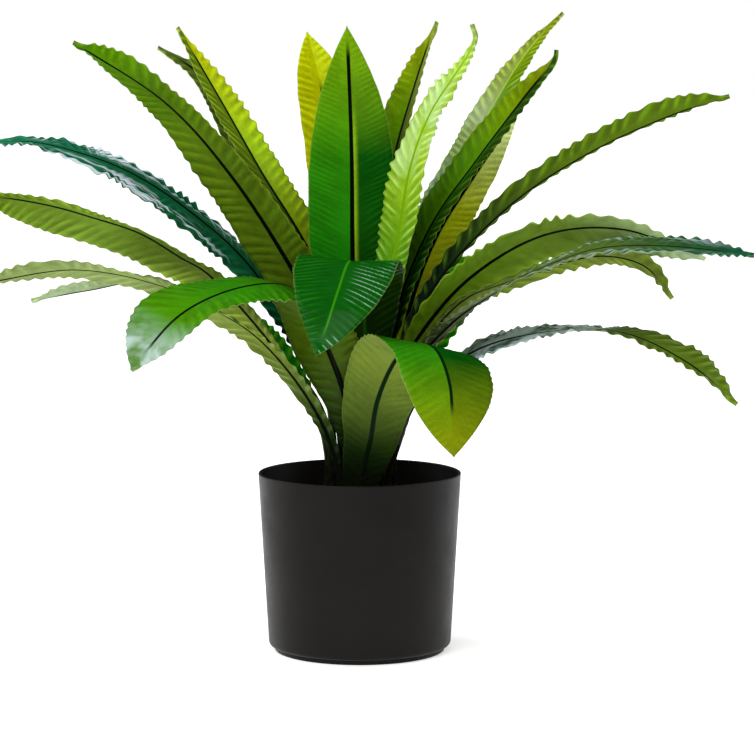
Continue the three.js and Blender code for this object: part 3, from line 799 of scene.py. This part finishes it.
class Midrib:
    """A frond's midrib: straight up through its seat, then a smooth curve through its places."""

    STEPS = 400
    # Steps on either side of a place that its direction is taken over
    NEAR = 2

    def __init__(self, frond):
        radius, azimuth = frond.seat
        seat = direction(azimuth, 0) * radius
        self.root = Vector((seat.x, seat.y, SEAT_FLOOR)) * MM
        self.points = [Vector((seat.x, seat.y, SEAT_TOP)) * MM] + [Vector(p) * MM for p in frond.rib]
        self.run = [self.curve(i / self.STEPS) for i in range(self.STEPS + 1)]
        self.reach = [0.0]
        for a, b in zip(self.run, self.run[1:]):
            self.reach.append(self.reach[-1] + (b - a).length)
        self.length = self.reach[-1]

    def curve(self, t):
        """A centripetal Catmull-Rom curve through the points, with t from 0 to 1."""
        points = self.points
        last = len(points) - 1
        i = min(int(t * last), last - 1)
        part = t * last - i
        p1, p2 = points[i], points[i + 1]
        p0 = points[i - 1] if i else p1 * 2 - p2
        p3 = points[i + 2] if i + 2 <= last else p2 * 2 - p1
        d0, d1, d2 = ((b - a).length ** 0.5 for a, b in ((p0, p1), (p1, p2), (p2, p3)))
        start = ((p1 - p0) / d0 - (p2 - p0) / (d0 + d1) + (p2 - p1) / d1) * d1
        end = ((p2 - p1) / d1 - (p3 - p1) / (d1 + d2) + (p3 - p2) / d2) * d1
        square, cube = part ** 2, part ** 3
        return (p1 * (2 * cube - 3 * square + 1) + start * (cube - 2 * square + part)
                + p2 * (3 * square - 2 * cube) + end * (cube - square))

    def at(self, share):
        """The place at a share of the length, and the direction there."""
        goal = min(max(share, 0), 1) * self.length
        i = min(max(bisect_right(self.reach, goal) - 1, 0), self.STEPS - 1)
        part = (goal - self.reach[i]) / (self.reach[i + 1] - self.reach[i])
        low, high = max(i - self.NEAR, 0), min(i + 1 + self.NEAR, self.STEPS)
        return self.run[i].lerp(self.run[i + 1], part), (self.run[high] - self.run[low]).normalized()


class Blade:
    """A frond's surface: where each point of its flat pattern goes. Shares run from the seat to the tip, and
    across runs from -1 at one edge to 1 at the other."""

    # Shares on either side that the facing is eased over
    EASING = (-0.06, -0.03, 0, 0.03, 0.06)
    TIP_WIDTH = 1.2
    # Stalk widths at which a blade is wholly flat
    FLAT_WIDTH = 3
    # The midrib's height at the tip, and that on the upper side, for its height below at the stalk
    RIB_AT_TIP = 0.25
    RIB_ABOVE = 0.45
    # Shares of the half width over which the corrugations rise from the midrib
    RIDGES_RISE = (0.05, 0.5)
    # Uneven strengths: their means, and how far the noise swings the ruffles and teeth
    RIDGE_MEAN = 0.8
    RUFFLE_MEAN = 0.6
    TOOTH_MEAN = 0.7
    SWING = 1.6
    # Places of the noises, apart from each other, for either half and for each uneven measure
    DRIFT_APART = 7.3
    EDGES_APART = 3.1
    LAYERS = {"ridges": 5, "ruffle": 7, "wave": 9, "crumple": 11, "scallop": 13, "tooth": 15}

    def __init__(self, frond, shape, seed):
        self.frond = frond
        self.shape = shape
        self.seed = seed
        self.midrib = Midrib(frond)
        self.pitch = shape.vein_pitch / frond.veins
        inward = direction(frond.seat[1] + 180, 0)
        self.looks = [inward] + [direction(*face[:2]) for face in frond.faces]
        self.folds = [frond.fold] + [face[2] if len(face) > 2 else frond.fold for face in frond.faces]

    def outline(self, share):
        """The width at a share of the length, for the frond's full width."""
        f = self.frond
        left = max(0, (share - f.narrows) / (1 - f.narrows))
        return rise(share, f.widens, f.widest) * (1 - left ** self.shape.tip_roundness)

    def facing(self, share):
        """The way the upper side looks, eased where its stops meet."""
        total = Vector()
        for shift in self.EASING:
            a, b, part = between(self.looks, min(max(share + shift, 0), 1))
            total += a.lerp(b, part)
        return total.normalized()

    def station(self, share):
        """Everything that is alike all over one cross-section."""
        shape = self.shape
        place, along = self.midrib.at(share)
        facing = self.facing(share)
        above = (facing - along * facing.dot(along)).normalized()
        broad = self.outline(share)
        full = max(self.frond.width * MM * broad, mix(shape.stalk_width, self.TIP_WIDTH * MM, share))
        flat = rise(full, shape.stalk_width, self.FLAT_WIDTH * shape.stalk_width)
        a, b, part = between(self.folds, share)
        return {
            "place": place, "above": above, "across": along.cross(above), "half": full / 2, "flat": flat,
            "slope": math.tan(math.radians(mix(a, b, part))) * flat, "distance": share * self.midrib.length,
            "broad": min(1, broad * 2), "share": share,
        }

    def turns(self, distance, out, side):
        """How many corrugations lie between the seat and a point. They lean towards the tip."""
        shape = self.shape
        drift = noise.noise(Vector((distance / shape.drift_pitch, side * self.DRIFT_APART, self.seed)))
        return (distance - shape.vein_lean * out) / self.pitch + shape.drift * drift

    def ridge(self, distance, out, side):
        """The corrugations' rise and fall at a point, as high as they are long."""
        return math.sin(math.tau * self.turns(distance, out, side)) * self.pitch

    def uneven(self, distance, pitch, side, layer):
        """Smooth noise along one edge, about -1 to 1, of its own for each measure."""
        place = (distance / pitch, side * self.EDGES_APART, self.seed + self.LAYERS[layer])
        return noise.noise(Vector(place))

    def height(self, at, out, side):
        """How far the blade stands off its midrib's plane, besides its thickness."""
        shape = self.shape
        along = at["distance"]
        reach = out / max(at["half"], 0.001 * MM)
        ridge = self.ridge(along, out, side)
        strength = self.RIDGE_MEAN + self.uneven(along, shape.swell_pitch, side, "ridges")
        ridges = ridge * shape.corrugation * strength * rise(reach, *self.RIDGES_RISE)
        swell = max(0, self.RUFFLE_MEAN + self.SWING * self.uneven(along, shape.swell_pitch, side, "ruffle"))
        ruffle = ridge * shape.ruffle * swell
        wave = self.uneven(along, shape.wave_pitch, side, "wave") * shape.wave
        folds = self.uneven(along, shape.crumple_pitch, side, "crumple")
        crumple = folds * shape.crumple * self.frond.crumple
        edge = reach ** shape.ruffle_bias * at["broad"]
        inner = reach ** shape.crumple_bias * at["broad"]
        droop = -shape.droop * reach ** 2 * at["half"]
        relief = droop + ridges + (ruffle + wave) * self.frond.ruffle * edge + crumple * inner
        return out * at["slope"] + relief * at["flat"]

    def thickness(self, at, out, upper):
        """Half the stalk's round section, or half the blade's thin one with its midrib."""
        shape = self.shape
        reach = min(out / max(at["half"], 0.001 * MM), 1)
        round_part = shape.stalk_thickness / 2 * math.sqrt(max(0, 1 - reach ** 2)) + shape.edge / 2
        rib = mix(shape.rib_height, shape.rib_height * self.RIB_AT_TIP, at["share"])
        if upper:
            rib *= self.RIB_ABOVE
        thin = mix(shape.lamina, shape.edge, reach) / 2 + rib * math.exp(-((out / shape.rib_width) ** 2))
        return mix(round_part, thin, at["flat"])

    def spot(self, at, across, upper):
        """The place of one point of the pattern, its distance from the midrib and its side."""
        shape = self.shape
        along = at["distance"]
        side = 1 if across > 0 else -1
        scallop = shape.scallop * self.uneven(along, shape.scallop_pitch, side, "scallop")
        out = abs(across) ** shape.crowding * at["half"] * (1 + scallop * at["flat"])
        tooth = self.ridge(along, out, side) * shape.tooth
        tooth *= max(0, self.TOOTH_MEAN + self.SWING * self.uneven(along, shape.swell_pitch, side, "tooth"))
        tooth *= self.frond.ruffle * abs(across) ** shape.tooth_bias
        out += tooth * at["flat"] * at["broad"]
        lift = self.height(at, out, side) + self.thickness(at, out, upper) * (1 if upper else -1)
        return at["place"] + at["across"] * (side * out) + at["above"] * lift, out, side


# The gap between a frond pattern's two flat sheets, for a length and width of 2
SHEET_GAP = 0.01


def pattern(columns, rows):
    """Two flat sheets, one above the other, joined round their edges: -1..1 across and along."""
    bm = bmesh.new()
    bmesh.ops.create_grid(bm, x_segments=columns, y_segments=rows, size=1.0)
    under = bmesh.ops.duplicate(bm, geom=bm.verts[:] + bm.edges[:] + bm.faces[:])["geom"]
    bmesh.ops.translate(bm, verts=only(bmesh.types.BMVert, under), vec=(0, 0, -SHEET_GAP))
    bmesh.ops.reverse_faces(bm, faces=only(bmesh.types.BMFace, under))
    bmesh.ops.bridge_loops(bm, edges=[edge for edge in bm.edges if edge.is_boundary])
    return bm


def blade_mesh(blade, shape):
    """Takes the flat pattern to the frond's own surface, and notes on each point what its finish needs."""
    rooted = (SEAT_TOP - SEAT_FLOOR) * MM
    length = blade.midrib.length
    total = rooted + length
    bm = pattern(shape.columns, round(total / shape.step))
    layers = [bm.verts.layers.float.new(name) for name in CARRIED]
    stations = {}
    for vert in bm.verts:
        row = vert.co.y
        distance = (row + 1) / 2 * total - rooted
        upper = vert.co.z > -SHEET_GAP / 2
        if row not in stations:
            stations[row] = blade.station(max(distance / length, 0))
        at = stations[row]
        place, out, side = blade.spot(at, vert.co.x, upper)
        if distance < 0:
            place += blade.midrib.root - Vector((0, 0, -rooted - distance)) - at["place"]
        vert.co = place
        carried = (max(distance, 0) / length, side * min(out / at["half"], 1),
                   blade.turns(at["distance"], out, side), out, 1.0 if upper else 0.0)
        for layer, value in zip(layers, carried):
            vert[layer] = value
    return bm


def dry_scale(bm, layer, root, tip, width, bend):
    """One dry scale: a thin, pointed, three-sided sliver from root to tip, half as thick as wide."""
    made = bmesh.ops.create_cone(bm, segments=3, radius1=width, radius2=width * 0.1, depth=1.0, cap_ends=True)
    run = tip - root
    side = run.cross(bend).normalized()
    front = side.cross(run).normalized()
    for vert in made["verts"]:
        share = vert.co.z + 0.5
        vert[layer] = share
        sway = 4 * share * (1 - share)
        vert.co = root + run * share + side * vert.co.x + front * (vert.co.y * 0.5) + bend * sway


def measure(name, description, millimetres):
    return FloatProperty(name=name, description=description, default=millimetres * MM, unit="LENGTH")


def factor(name, description, default):
    return FloatProperty(name=name, description=description, default=default, subtype="FACTOR")


def number(name, description, default):
    return FloatProperty(name=name, description=description, default=default)


def count(name, description, default, least=0):
    return IntProperty(name=name, description=description, default=default, min=least)


def paint(name, description, tint):
    return FloatVectorProperty(name=name, description=description, default=linear(tint), subtype="COLOR")


class PlanterSettings(bpy.types.PropertyGroup):
    wall: measure("Wall", "Thickness of the wall at the rim", 2.4)
    wall_foot_radius: measure("Wall foot radius", "Outer radius at the wall's foot", 76.5)
    corner_radius: measure("Corner", "Rounding where the wall turns under", 4)
    foot_radius: measure("Foot radius", "Radius of the inset foot ring", 71.5)
    foot_height: measure("Foot height", "Height of the inset foot ring", 4)
    foot_round: measure("Foot rounding", "Rounding of the foot ring's lower edge", 0.8)
    step_round: measure("Step rounding", "Rounding between the foot ring and the wall", 0.6)
    floor_top: measure("Floor", "Height of the floor inside", 8)
    floor_round: measure("Floor rounding", "Rounding between the floor and the wall inside", 3)
    lip_round: measure("Lip", "Rounding of the rim's edges", 0.9)
    corner_steps: count("Corner steps", "Steps of each rounding", 6, least=1)
    steps: count("Steps", "Steps round the planter", 192, least=16)
    roughness: factor("Roughness", "How dull the satin finish is", 0.42)


class SoilSettings(bpy.types.PropertyGroup):
    columns: count("Columns", "Columns of the soil's surface round the crown", 150, least=8)
    rings: count("Rings", "Rings of the soil's surface", 34, least=2)
    mound: measure("Mound", "Height of the middle over the edge", 4)
    edge_dip: measure("Edge dip", "Depth of the edge below the soil's highest place", 4.5)
    taper: measure("Taper", "How far the soil narrows to the planter's floor", 6.5)
    unevenness: measure("Unevenness", "Height of the surface's humps", 1.6)
    crumbs: count("Crumbs", "Loose crumbs on the surface", 900)
    mineral_share: factor("Mineral share", "Share of the crumbs that are pale bits", 0.05)
    crumb_size: measure("Crumb size", "Radius of a large crumb", 2.1)


class CrownSettings(bpy.types.PropertyGroup):
    edge_height: measure("Edge height", "Height of the crown's edge over the table", 117)
    dome: measure("Dome", "Height of the crown's middle over its edge", 8)
    knobs: measure("Knobs", "Height of the knobs on the crown", 1.2)
    scales: count("Scales", "Dry scales on the crown", 1400)
    stalk_scales: count("Stalk scales", "Dry scales at the foot of each stalk", 36)
    scale_length: measure("Scale length", "Length of a long scale", 11)
    scale_width: measure("Scale width", "Half the width of a scale", 0.35)


class BladeSettings(bpy.types.PropertyGroup):
    step: measure("Step", "Distance between rows along a frond", 1.4)
    columns: count("Columns", "Columns across a frond", 20, least=4)
    crowding: number("Crowding", "How far the columns crowd to the midrib", 1.35)
    stalk_width: measure("Stalk width", "Width of a stalk", 7)
    stalk_thickness: measure("Stalk thickness", "Thickness of a stalk", 3.6)
    lamina: measure("Lamina", "Thickness of the blade", 0.7)
    edge: measure("Edge", "Thickness of the blade's edge", 0.4)
    rib_height: measure("Midrib height", "How far the midrib stands out below", 1.5)
    rib_width: measure("Midrib width", "Half the midrib's width", 1.5)
    tip_roundness: number("Tip roundness", "How blunt a tip is", 2.3)
    vein_pitch: measure("Corrugation pitch", "Distance between corrugations", 10)
    vein_lean: number("Corrugation lean", "How far corrugations lean to the tip", 0.5)
    corrugation: number("Corrugation", "Height of the corrugations for their pitch", 0.055)
    drift: number("Drift", "Turns that the corrugations wander by", 1.3)
    drift_pitch: measure("Drift pitch", "Distance over which they wander", 38)
    swell_pitch: measure("Swell pitch", "Distance over which ruffles come and go", 34)
    ruffle: number("Ruffle", "Height of the ruffled edge for the corrugations' pitch", 0.075)
    ruffle_bias: number("Ruffle bias", "How far the ruffle keeps to the edge", 2.6)
    wave: measure("Wave", "Height of the slow waves", 1.5)
    wave_pitch: measure("Wave pitch", "Length of the slow waves", 26)
    crumple: measure("Crumple", "Height of the folds of a crumpled frond", 5.0)
    crumple_pitch: measure("Crumple pitch", "Length of a crumpled frond's folds", 11)
    crumple_bias: number("Crumple bias", "How far the folds keep to the edge", 1.5)
    droop: number("Droop", "How far the halves arch down to their edges", 0.04)
    scallop: number("Scallop", "Share of the width that the edge goes in and out by", 0.03)
    scallop_pitch: measure("Scallop pitch", "Length of the edge's ins and outs", 14)
    tooth: number("Tooth", "How far the edge stands out at a corrugation, for their pitch", 0.04)
    tooth_bias: number("Tooth bias", "How far the teeth keep to the edge", 5.0)


class LeafColours(bpy.types.PropertyGroup):
    flank_strength: factor("Flank", "Strength of the tint beside the midrib", 0.8)
    flank_width: measure("Flank width", "Distance from the midrib that it reaches", 6.5)
    bands_from: number("Bands from", "Share of the half blade where the bands begin", 0.12)
    band_contrast: factor("Band contrast", "How strong the bands' light and shade is", 0.3)
    broad_streaks: number("Broad streaks", "Light streaks for each corrugation", 0.75)
    fine_streaks: number("Fine streaks", "Fine veins for each corrugation", 3.2)
    streak_length: number("Streak length", "How short the streaks are", 1.3)
    # The crests' streaks are a painted highlight
    streak_strength: factor("Streak strength", "How light the crests' streaks are", 0.5)
    streak_contrast: factor("Streak contrast", "How strong the broad streaks' shade is", 0.08)
    vein_contrast: factor("Vein contrast", "How strong the fine veins' shade is", 0.1)
    vein_relief: measure("Vein relief", "How far the fine veins are raised", 0.12)
    patch_scale: number("Patch scale", "Patches for each metre", 26)
    patch_contrast: factor("Patch contrast", "How strong the patches are", 0.12)
    edge_strength: factor("Edge strength", "Strength of the pale edge", 0.2)
    edge_tint: paint("Edge tint", "Tint of the thin pale edge", "#a9bb5e")
    rib_at_stalk: measure("Midrib at stalk", "Half its tint's width near the stalk", 2.8)
    rib_at_tip: measure("Midrib at tip", "Half its tint's width near the tip", 1.7)
    # The stalks' dark is partly their own colour and partly painted shade
    stalk_dark_and_shade: factor("Stalk dark", "How dark the stalks are", 0.95)
    stalk_tint: paint("Stalk tint", "Tint of the stalks", "#0d110a")
    specular: factor("Specular", "Strength of the leaf's own reflections", 0.0)
    coat_roughness: factor("Coat roughness", "Dullness of the glossy coat", 0.14)
    upper_roughness: factor("Upper roughness", "Dullness of the upper side", 0.36)
    under_roughness: factor("Under roughness", "Dullness of the underside", 0.5)


class StageSettings(bpy.types.PropertyGroup):
    floor_size: FloatProperty(name="Floor", description="Half the floor's width", default=40.0, unit="LENGTH")
    floor_tone: factor("Floor tone", "How pale the floor is", 0.9)
    floor_glow: number("Floor glow", "Light that the pale floor gives of itself", 0.4)
    camera_place: FloatVectorProperty(name="Camera", description="Where the camera stands",
                                      default=(0.0145, -2.4, 0.487), subtype="TRANSLATION")
    camera_tilt: FloatProperty(name="Tilt", description="How far the camera looks down",
                               default=math.radians(6.05), subtype="ANGLE")
    lens: FloatProperty(name="Lens", description="Focal length", default=137.84, unit="CAMERA")
    sensor: FloatProperty(name="Sensor", description="Width of the sensor", default=36, unit="CAMERA")
    sky: number("Sky", "Strength of the even light", 0.6)
    reflected_sky: number("Reflected sky", "Strength of the even light in reflections", 0.12)
    sun: number("Key light", "Strength of the broad light from the front", 2.0)


class FernSettings(bpy.types.PropertyGroup):
    planter: PointerProperty(type=PlanterSettings)
    soil: PointerProperty(type=SoilSettings)
    crown: PointerProperty(type=CrownSettings)
    blade: PointerProperty(type=BladeSettings)
    colours: PointerProperty(type=LeafColours)
    stage: PointerProperty(type=StageSettings)


class FERN_OT_planter(bpy.types.Operator):
    """Turns the planter and gives it its satin finish"""

    bl_idname = "fern.planter"
    bl_label = "Planter"

    def execute(self, context):
        planter = context.scene.fern.planter
        bm = bmesh.new()
        spun(bm, planter_outline(planter), planter.steps)
        piece = finished(bm, "planter", pot_material(planter))
        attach(piece, "root")
        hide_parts("pot")
        return {"FINISHED"}


class FERN_OT_soil(bpy.types.Operator):
    """Fills the planter with potting soil and strews crumbs on it"""

    bl_idname = "fern.soil"
    bl_label = "Soil"

    SEED = 7
    # The gap round the crown, and how far the soil ends above the crown's foot inside it, in millimetres
    CROWN_GAP = 0.6
    FOOT_GAP = 0.3
    # The humps: how many to a metre, then their roughness, how each layer refines the last, and the layers
    HUMP_SCALE = 60
    HUMPS = (0.8, 2.1, 5)
    # The crumbs keep this many millimetres from the crown and the wall
    CLEAR_CROWN = 2
    CLEAR_WALL = 3

    def height(self, x, y):
        """The height of the soil's surface at a place."""
        out = math.hypot(x, y)
        hump = noise.fractal(Vector((x, y, 0)) * self.HUMP_SCALE, *self.HUMPS) * self.soil.unevenness
        edge = SOIL_HIGH.z - self.soil.edge_dip
        return edge + self.soil.mound * (1 - (out / SOIL_HIGH.x) ** 2) + hump

    def ring(self, bm, edges):
        """Draws a new ring out of one, and gives its points and edges."""
        drawn = bmesh.ops.extrude_edge_only(bm, edges=edges)["geom"]
        return only(bmesh.types.BMVert, drawn), only(bmesh.types.BMEdge, drawn)

    def bed(self, gap):
        """The soil's body, with a hole that the crown stands in."""
        bm = bmesh.new()
        bmesh.ops.create_circle(bm, cap_ends=False, radius=gap, segments=self.soil.columns)
        edges = bm.edges[:]
        for i in range(1, self.soil.rings + 1):
            verts, edges = self.ring(bm, edges)
            goal = mix(gap, SOIL_HIGH.x, i / self.soil.rings)
            for vert in verts:
                vert.co.xy = vert.co.xy.normalized() * goal
        for vert in bm.verts:
            vert.co.z = self.height(vert.co.x, vert.co.y)
        foot_radius = SOIL_HIGH.x - self.soil.taper
        low, edges = self.ring(bm, edges)
        for vert in low:
            vert.co.xy = vert.co.xy.normalized() * foot_radius
            vert.co.z = SOIL_LOW.z
        bmesh.ops.contextual_create(bm, geom=edges)
        low, edges = self.ring(bm, [edge for edge in bm.edges if edge.is_boundary])
        for vert in low:
            vert.co.z = CROWN_LOW.z - self.FOOT_GAP * MM
        bmesh.ops.contextual_create(bm, geom=edges)
        bmesh.ops.recalc_face_normals(bm, faces=bm.faces)
        return bm

    def crumb(self, bm, place, size, stretch):
        """A bumpy, stretched ball."""
        for vert in bmesh.ops.create_icosphere(bm, subdivisions=1, radius=size)["verts"]:
            bumpy = 1 + 0.28 * noise.noise((vert.co + place) * 700)
            vert.co = Vector(a * b for a, b in zip(vert.co, stretch)) * bumpy + place

    def execute(self, context):
        self.soil = context.scene.fern.soil
        gap = CROWN_HIGH.x + self.CROWN_GAP * MM
        piece = finished(self.bed(gap), "potting_soil", earth_material("soil_finish", "soil", 90.0))
        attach(piece, "root")
        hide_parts("soil")

        rng = random.Random(self.SEED)
        crumbs, bits = bmesh.new(), bmesh.new()
        inner = (gap + self.CLEAR_CROWN * MM) ** 2
        outer = (SOIL_HIGH.x - self.CLEAR_WALL * MM) ** 2
        for _ in range(self.soil.crumbs):
            target = bits if rng.random() < self.soil.mineral_share else crumbs
            out = math.sqrt(rng.uniform(inner, outer))
            x, y = around(out, rng.uniform(0, math.tau))
            size = self.soil.crumb_size * rng.uniform(0.25, 1) ** 1.6
            place = Vector((x, y, self.height(x, y) + size * 0.35))
            stretch = (rng.uniform(0.7, 1.3), rng.uniform(0.7, 1.3), rng.uniform(0.5, 0.9))
            self.crumb(target, place, size, stretch)
        crumb_finish = earth_material("crumb_finish", "crumbs", 160.0)
        for bm, name, material in ((crumbs, "soil_crumbs", crumb_finish),
                                   (bits, "soil_mineral_bits", speck_material())):
            piece = finished(bm, name, material, smooth=False)
            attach(piece, "root")
        return {"FINISHED"}


class FERN_OT_crown(bpy.types.Operator):
    """Makes the fibrous crown and the dry scales round the stalks' feet"""

    bl_idname = "fern.crown"
    bl_label = "Crown"

    SEED = 11
    DOME_STEPS = 24
    STEPS = 112
    # The knobs: how many to a metre, then their roughness, how each layer refines the last, and the layers
    KNOB_SCALE = 130
    KNOBS = (0.7, 2.0, 4)
    # Millimetres that a scale's root lies under the crown's surface, and beside a stalk's middle
    SUNK = 0.5
    BESIDE = 1.6
    # Share of a frond's length that its stalk's scales reach to
    SCALES_TO = 0.09

    def height(self, x, y):
        """The height of the crown's surface at a place."""
        crown = self.crown
        out = min(math.hypot(x, y) / CROWN_HIGH.x, 1)
        knobs = noise.fractal(Vector((x, y, 3)) * self.KNOB_SCALE, *self.KNOBS) * crown.knobs
        return crown.edge_height + crown.dome * (1 - out ** 2) + knobs * (1 - out ** 6)

    def block(self):
        crown = self.crown
        radius = CROWN_HIGH.x
        outline = [(0, CROWN_LOW.z), (radius, CROWN_LOW.z)]
        for i in range(self.DOME_STEPS + 1):
            out = 1 - i / self.DOME_STEPS
            outline.append((radius * out, crown.edge_height + crown.dome * (1 - out ** 2)))
        bm = bmesh.new()
        spun(bm, outline, self.STEPS)
        for vert in bm.verts:
            if vert.co.z > crown.edge_height - MM:
                vert.co.z = self.height(vert.co.x, vert.co.y)
        return bm

    def scatter(self, bm, layer, rng):
        """Stands dry scales all over the crown."""
        crown = self.crown
        for _ in range(crown.scales):
            out = CROWN_HIGH.x * math.sqrt(rng.uniform(0.02, 1))
            x, y = around(out, rng.uniform(0, math.tau))
            long = crown.scale_length * rng.uniform(0.35, 1)
            outwards = Vector((x, y, 0)).normalized() * rng.uniform(0.05, 0.8)
            lean = outwards + Vector((rng.uniform(-0.4, 0.4), rng.uniform(-0.4, 0.4), 1))
            root = Vector((x, y, self.height(x, y) - self.SUNK * MM))
            bend = Vector((rng.uniform(-1, 1), rng.uniform(-1, 1), rng.uniform(-1, 0.2))) * long * 0.12
            width = crown.scale_width * rng.uniform(0.6, 1.5)
            dry_scale(bm, layer, root, root + lean.normalized() * long, width, bend)

    def dress(self, bm, layer, rng, midrib):
        """Stands dry scales round the foot of a stalk."""
        crown = self.crown
        for _ in range(crown.stalk_scales):
            place, along = midrib.at(rng.uniform(0.0, self.SCALES_TO))
            sideways = Vector((rng.uniform(-1, 1), rng.uniform(-1, 1), 0)).normalized()
            long = crown.scale_length * rng.uniform(0.3, 0.8)
            root = place + sideways * self.BESIDE * MM
            tip = root + (along + sideways * rng.uniform(0.1, 0.5)).normalized() * long
            width = crown.scale_width * rng.uniform(0.5, 1.2)
            dry_scale(bm, layer, root, tip, width, sideways * long * 0.1)

    def execute(self, context):
        self.crown = context.scene.fern.crown
        piece = finished(self.block(), "crown_block", earth_material("crown_finish", "crown", 120.0))
        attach(piece, "root")
        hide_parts("crown")

        rng = random.Random(self.SEED)
        bm = bmesh.new()
        layer = bm.verts.layers.float.new("along")
        self.scatter(bm, layer, rng)
        for frond in FRONDS.values():
            self.dress(bm, layer, rng, Midrib(frond))
        piece = finished(bm, "crown_scales", scale_material(), smooth=False)
        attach(piece, "root")
        return {"FINISHED"}


class FERN_OT_fronds(bpy.types.Operator):
    """Grows every frond from its seat on the crown"""

    bl_idname = "fern.fronds"
    bl_label = "Fronds"

    # The first frond's noise begins here, and each next one's this much further on
    FIRST_SEED = 1
    NEXT_SEED = 13.7

    def execute(self, context):
        settings = context.scene.fern
        for i, (name, frond) in enumerate(FRONDS.items()):
            blade = Blade(frond, settings.blade, i * self.NEXT_SEED + self.FIRST_SEED)
            finish = LeafFinish(f"leaf_{name}", frond, blade.seed, settings.colours)
            piece = finished(blade_mesh(blade, settings.blade), f"fern_{name}", finish.material)
            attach(piece, "root")
            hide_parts(f"frond_{name}")
        return {"FINISHED"}


class FERN_OT_stage(bpy.types.Operator):
    """Lays the pale floor, hangs the soft lights and sets the camera"""

    bl_idname = "fern.stage"
    bl_label = "Stage"

    # The broad light's place and aim in metres, and how many degrees wide it is
    KEY_PLACE = (-1.3, -2.0, 2.2)
    KEY_AIM = (0, 0, 0.2)
    KEY_ANGLE = 50
    # The softboxes behind the plant: place in metres, watts and width, then the aim and height of both
    SOFTBOXES = {
        "left_softbox": ((-1.9, 0.9, 1.5), 26, 1.2),
        "right_softbox": ((1.9, 0.8, 1.3), 18, 1.0),
    }
    SOFTBOX_AIM = (0, 0, 0.3)
    SOFTBOX_HEIGHT = 1.6
    # Metres from the camera that it still sees
    FARTHEST = 200

    def light_world(self, scene, stage):
        """Even light from all round, weaker in reflections and pure white to the camera."""
        world = bpy.data.worlds.new("studio")
        scene.world = world
        world.use_nodes = True
        tree = world.node_tree
        paths = tree.nodes.new("ShaderNodeLightPath")
        seen = None
        for strength, rays in ((stage.sky, None), (stage.reflected_sky, "Is Glossy Ray"),
                               (1.0, "Is Camera Ray")):
            light = tree.nodes.new("ShaderNodeBackground")
            light.inputs["Color"].default_value = (1, 1, 1, 1)
            light.inputs["Strength"].default_value = strength
            if rays:
                both = tree.nodes.new("ShaderNodeMixShader")
                tree.links.new(paths.outputs[rays], both.inputs[0])
                tree.links.new(seen.outputs[0], both.inputs[1])
                tree.links.new(light.outputs[0], both.inputs[2])
                light = both
            seen = light
        tree.links.new(seen.outputs[0], tree.nodes["World Output"].inputs["Surface"])

    def hang(self, scene, kind, name, place, aim, energy, **settings):
        """Hangs a lamp that shines from a place to its aim."""
        data = bpy.data.lights.new(name, kind)
        data.energy = energy
        for key, value in settings.items():
            setattr(data, key, value)
        lamp = bpy.data.objects.new(name, data)
        scene.collection.objects.link(lamp)
        lamp.location = place
        lamp.rotation_euler = (Vector(aim) - Vector(place)).to_track_quat("-Z", "Y").to_euler()

    def execute(self, context):
        scene = context.scene
        stage = scene.fern.stage
        scene.view_settings.view_transform = "Standard"
        bm = bmesh.new()
        bmesh.ops.create_grid(bm, x_segments=1, y_segments=1, size=stage.floor_size)
        floor = finished(bm, "floor", floor_material(stage))

        self.light_world(scene, stage)
        self.hang(scene, "SUN", "key_light", self.KEY_PLACE, self.KEY_AIM, stage.sun,
                  angle=math.radians(self.KEY_ANGLE))
        for name, (place, energy, width) in self.SOFTBOXES.items():
            self.hang(scene, "AREA", name, place, self.SOFTBOX_AIM, energy, shape="RECTANGLE", size=width,
                      size_y=self.SOFTBOX_HEIGHT)

        camera = bpy.data.cameras.new("camera")
        camera.lens = stage.lens
        camera.sensor_width = stage.sensor
        camera.clip_end = self.FARTHEST
        eye = bpy.data.objects.new("camera", camera)
        scene.collection.objects.link(eye)
        eye.location = stage.camera_place
        eye.rotation_euler = (math.pi / 2 - stage.camera_tilt, 0, 0)
        scene.camera = eye
        return {"FINISHED"}


class FERN_PT_panel(bpy.types.Panel):
    """Lists the fern's pieces and their settings"""

    bl_idname = "FERN_PT_panel"
    bl_label = "Bird's Nest Fern"
    bl_space_type = "VIEW_3D"
    bl_region_type = "UI"
    bl_category = "Fern"

    def draw(self, context):
        settings = context.scene.fern
        for groups, operator in STEPS.items():
            box = self.layout.box()
            box.operator(operator.bl_idname)
            for group in groups.split():
                part = getattr(settings, group)
                for key in part.__annotations__:
                    box.prop(part, key)


# The operators in the order that they run in, and the groups of settings that each one reads
STEPS = {
    "stage": FERN_OT_stage,
    "planter": FERN_OT_planter,
    "soil": FERN_OT_soil,
    "crown": FERN_OT_crown,
    "blade colours": FERN_OT_fronds,
}
GROUPS = (PlanterSettings, SoilSettings, CrownSettings, BladeSettings, LeafColours, StageSettings,
          FernSettings)
CLASSES = (*GROUPS, *STEPS.values(), FERN_PT_panel)


def register():
    for cls in CLASSES:
        bpy.utils.register_class(cls)
    bpy.types.Scene.fern = PointerProperty(type=FernSettings)


def unregister():
    del bpy.types.Scene.fern
    for cls in reversed(CLASSES):
        bpy.utils.unregister_class(cls)


def main():
    register()
    bpy.ops.fern.stage()
    bpy.ops.fern.planter()
    bpy.ops.fern.soil()
    bpy.ops.fern.crown()
    bpy.ops.fern.fronds()


if __name__ == "__main__":
    main()
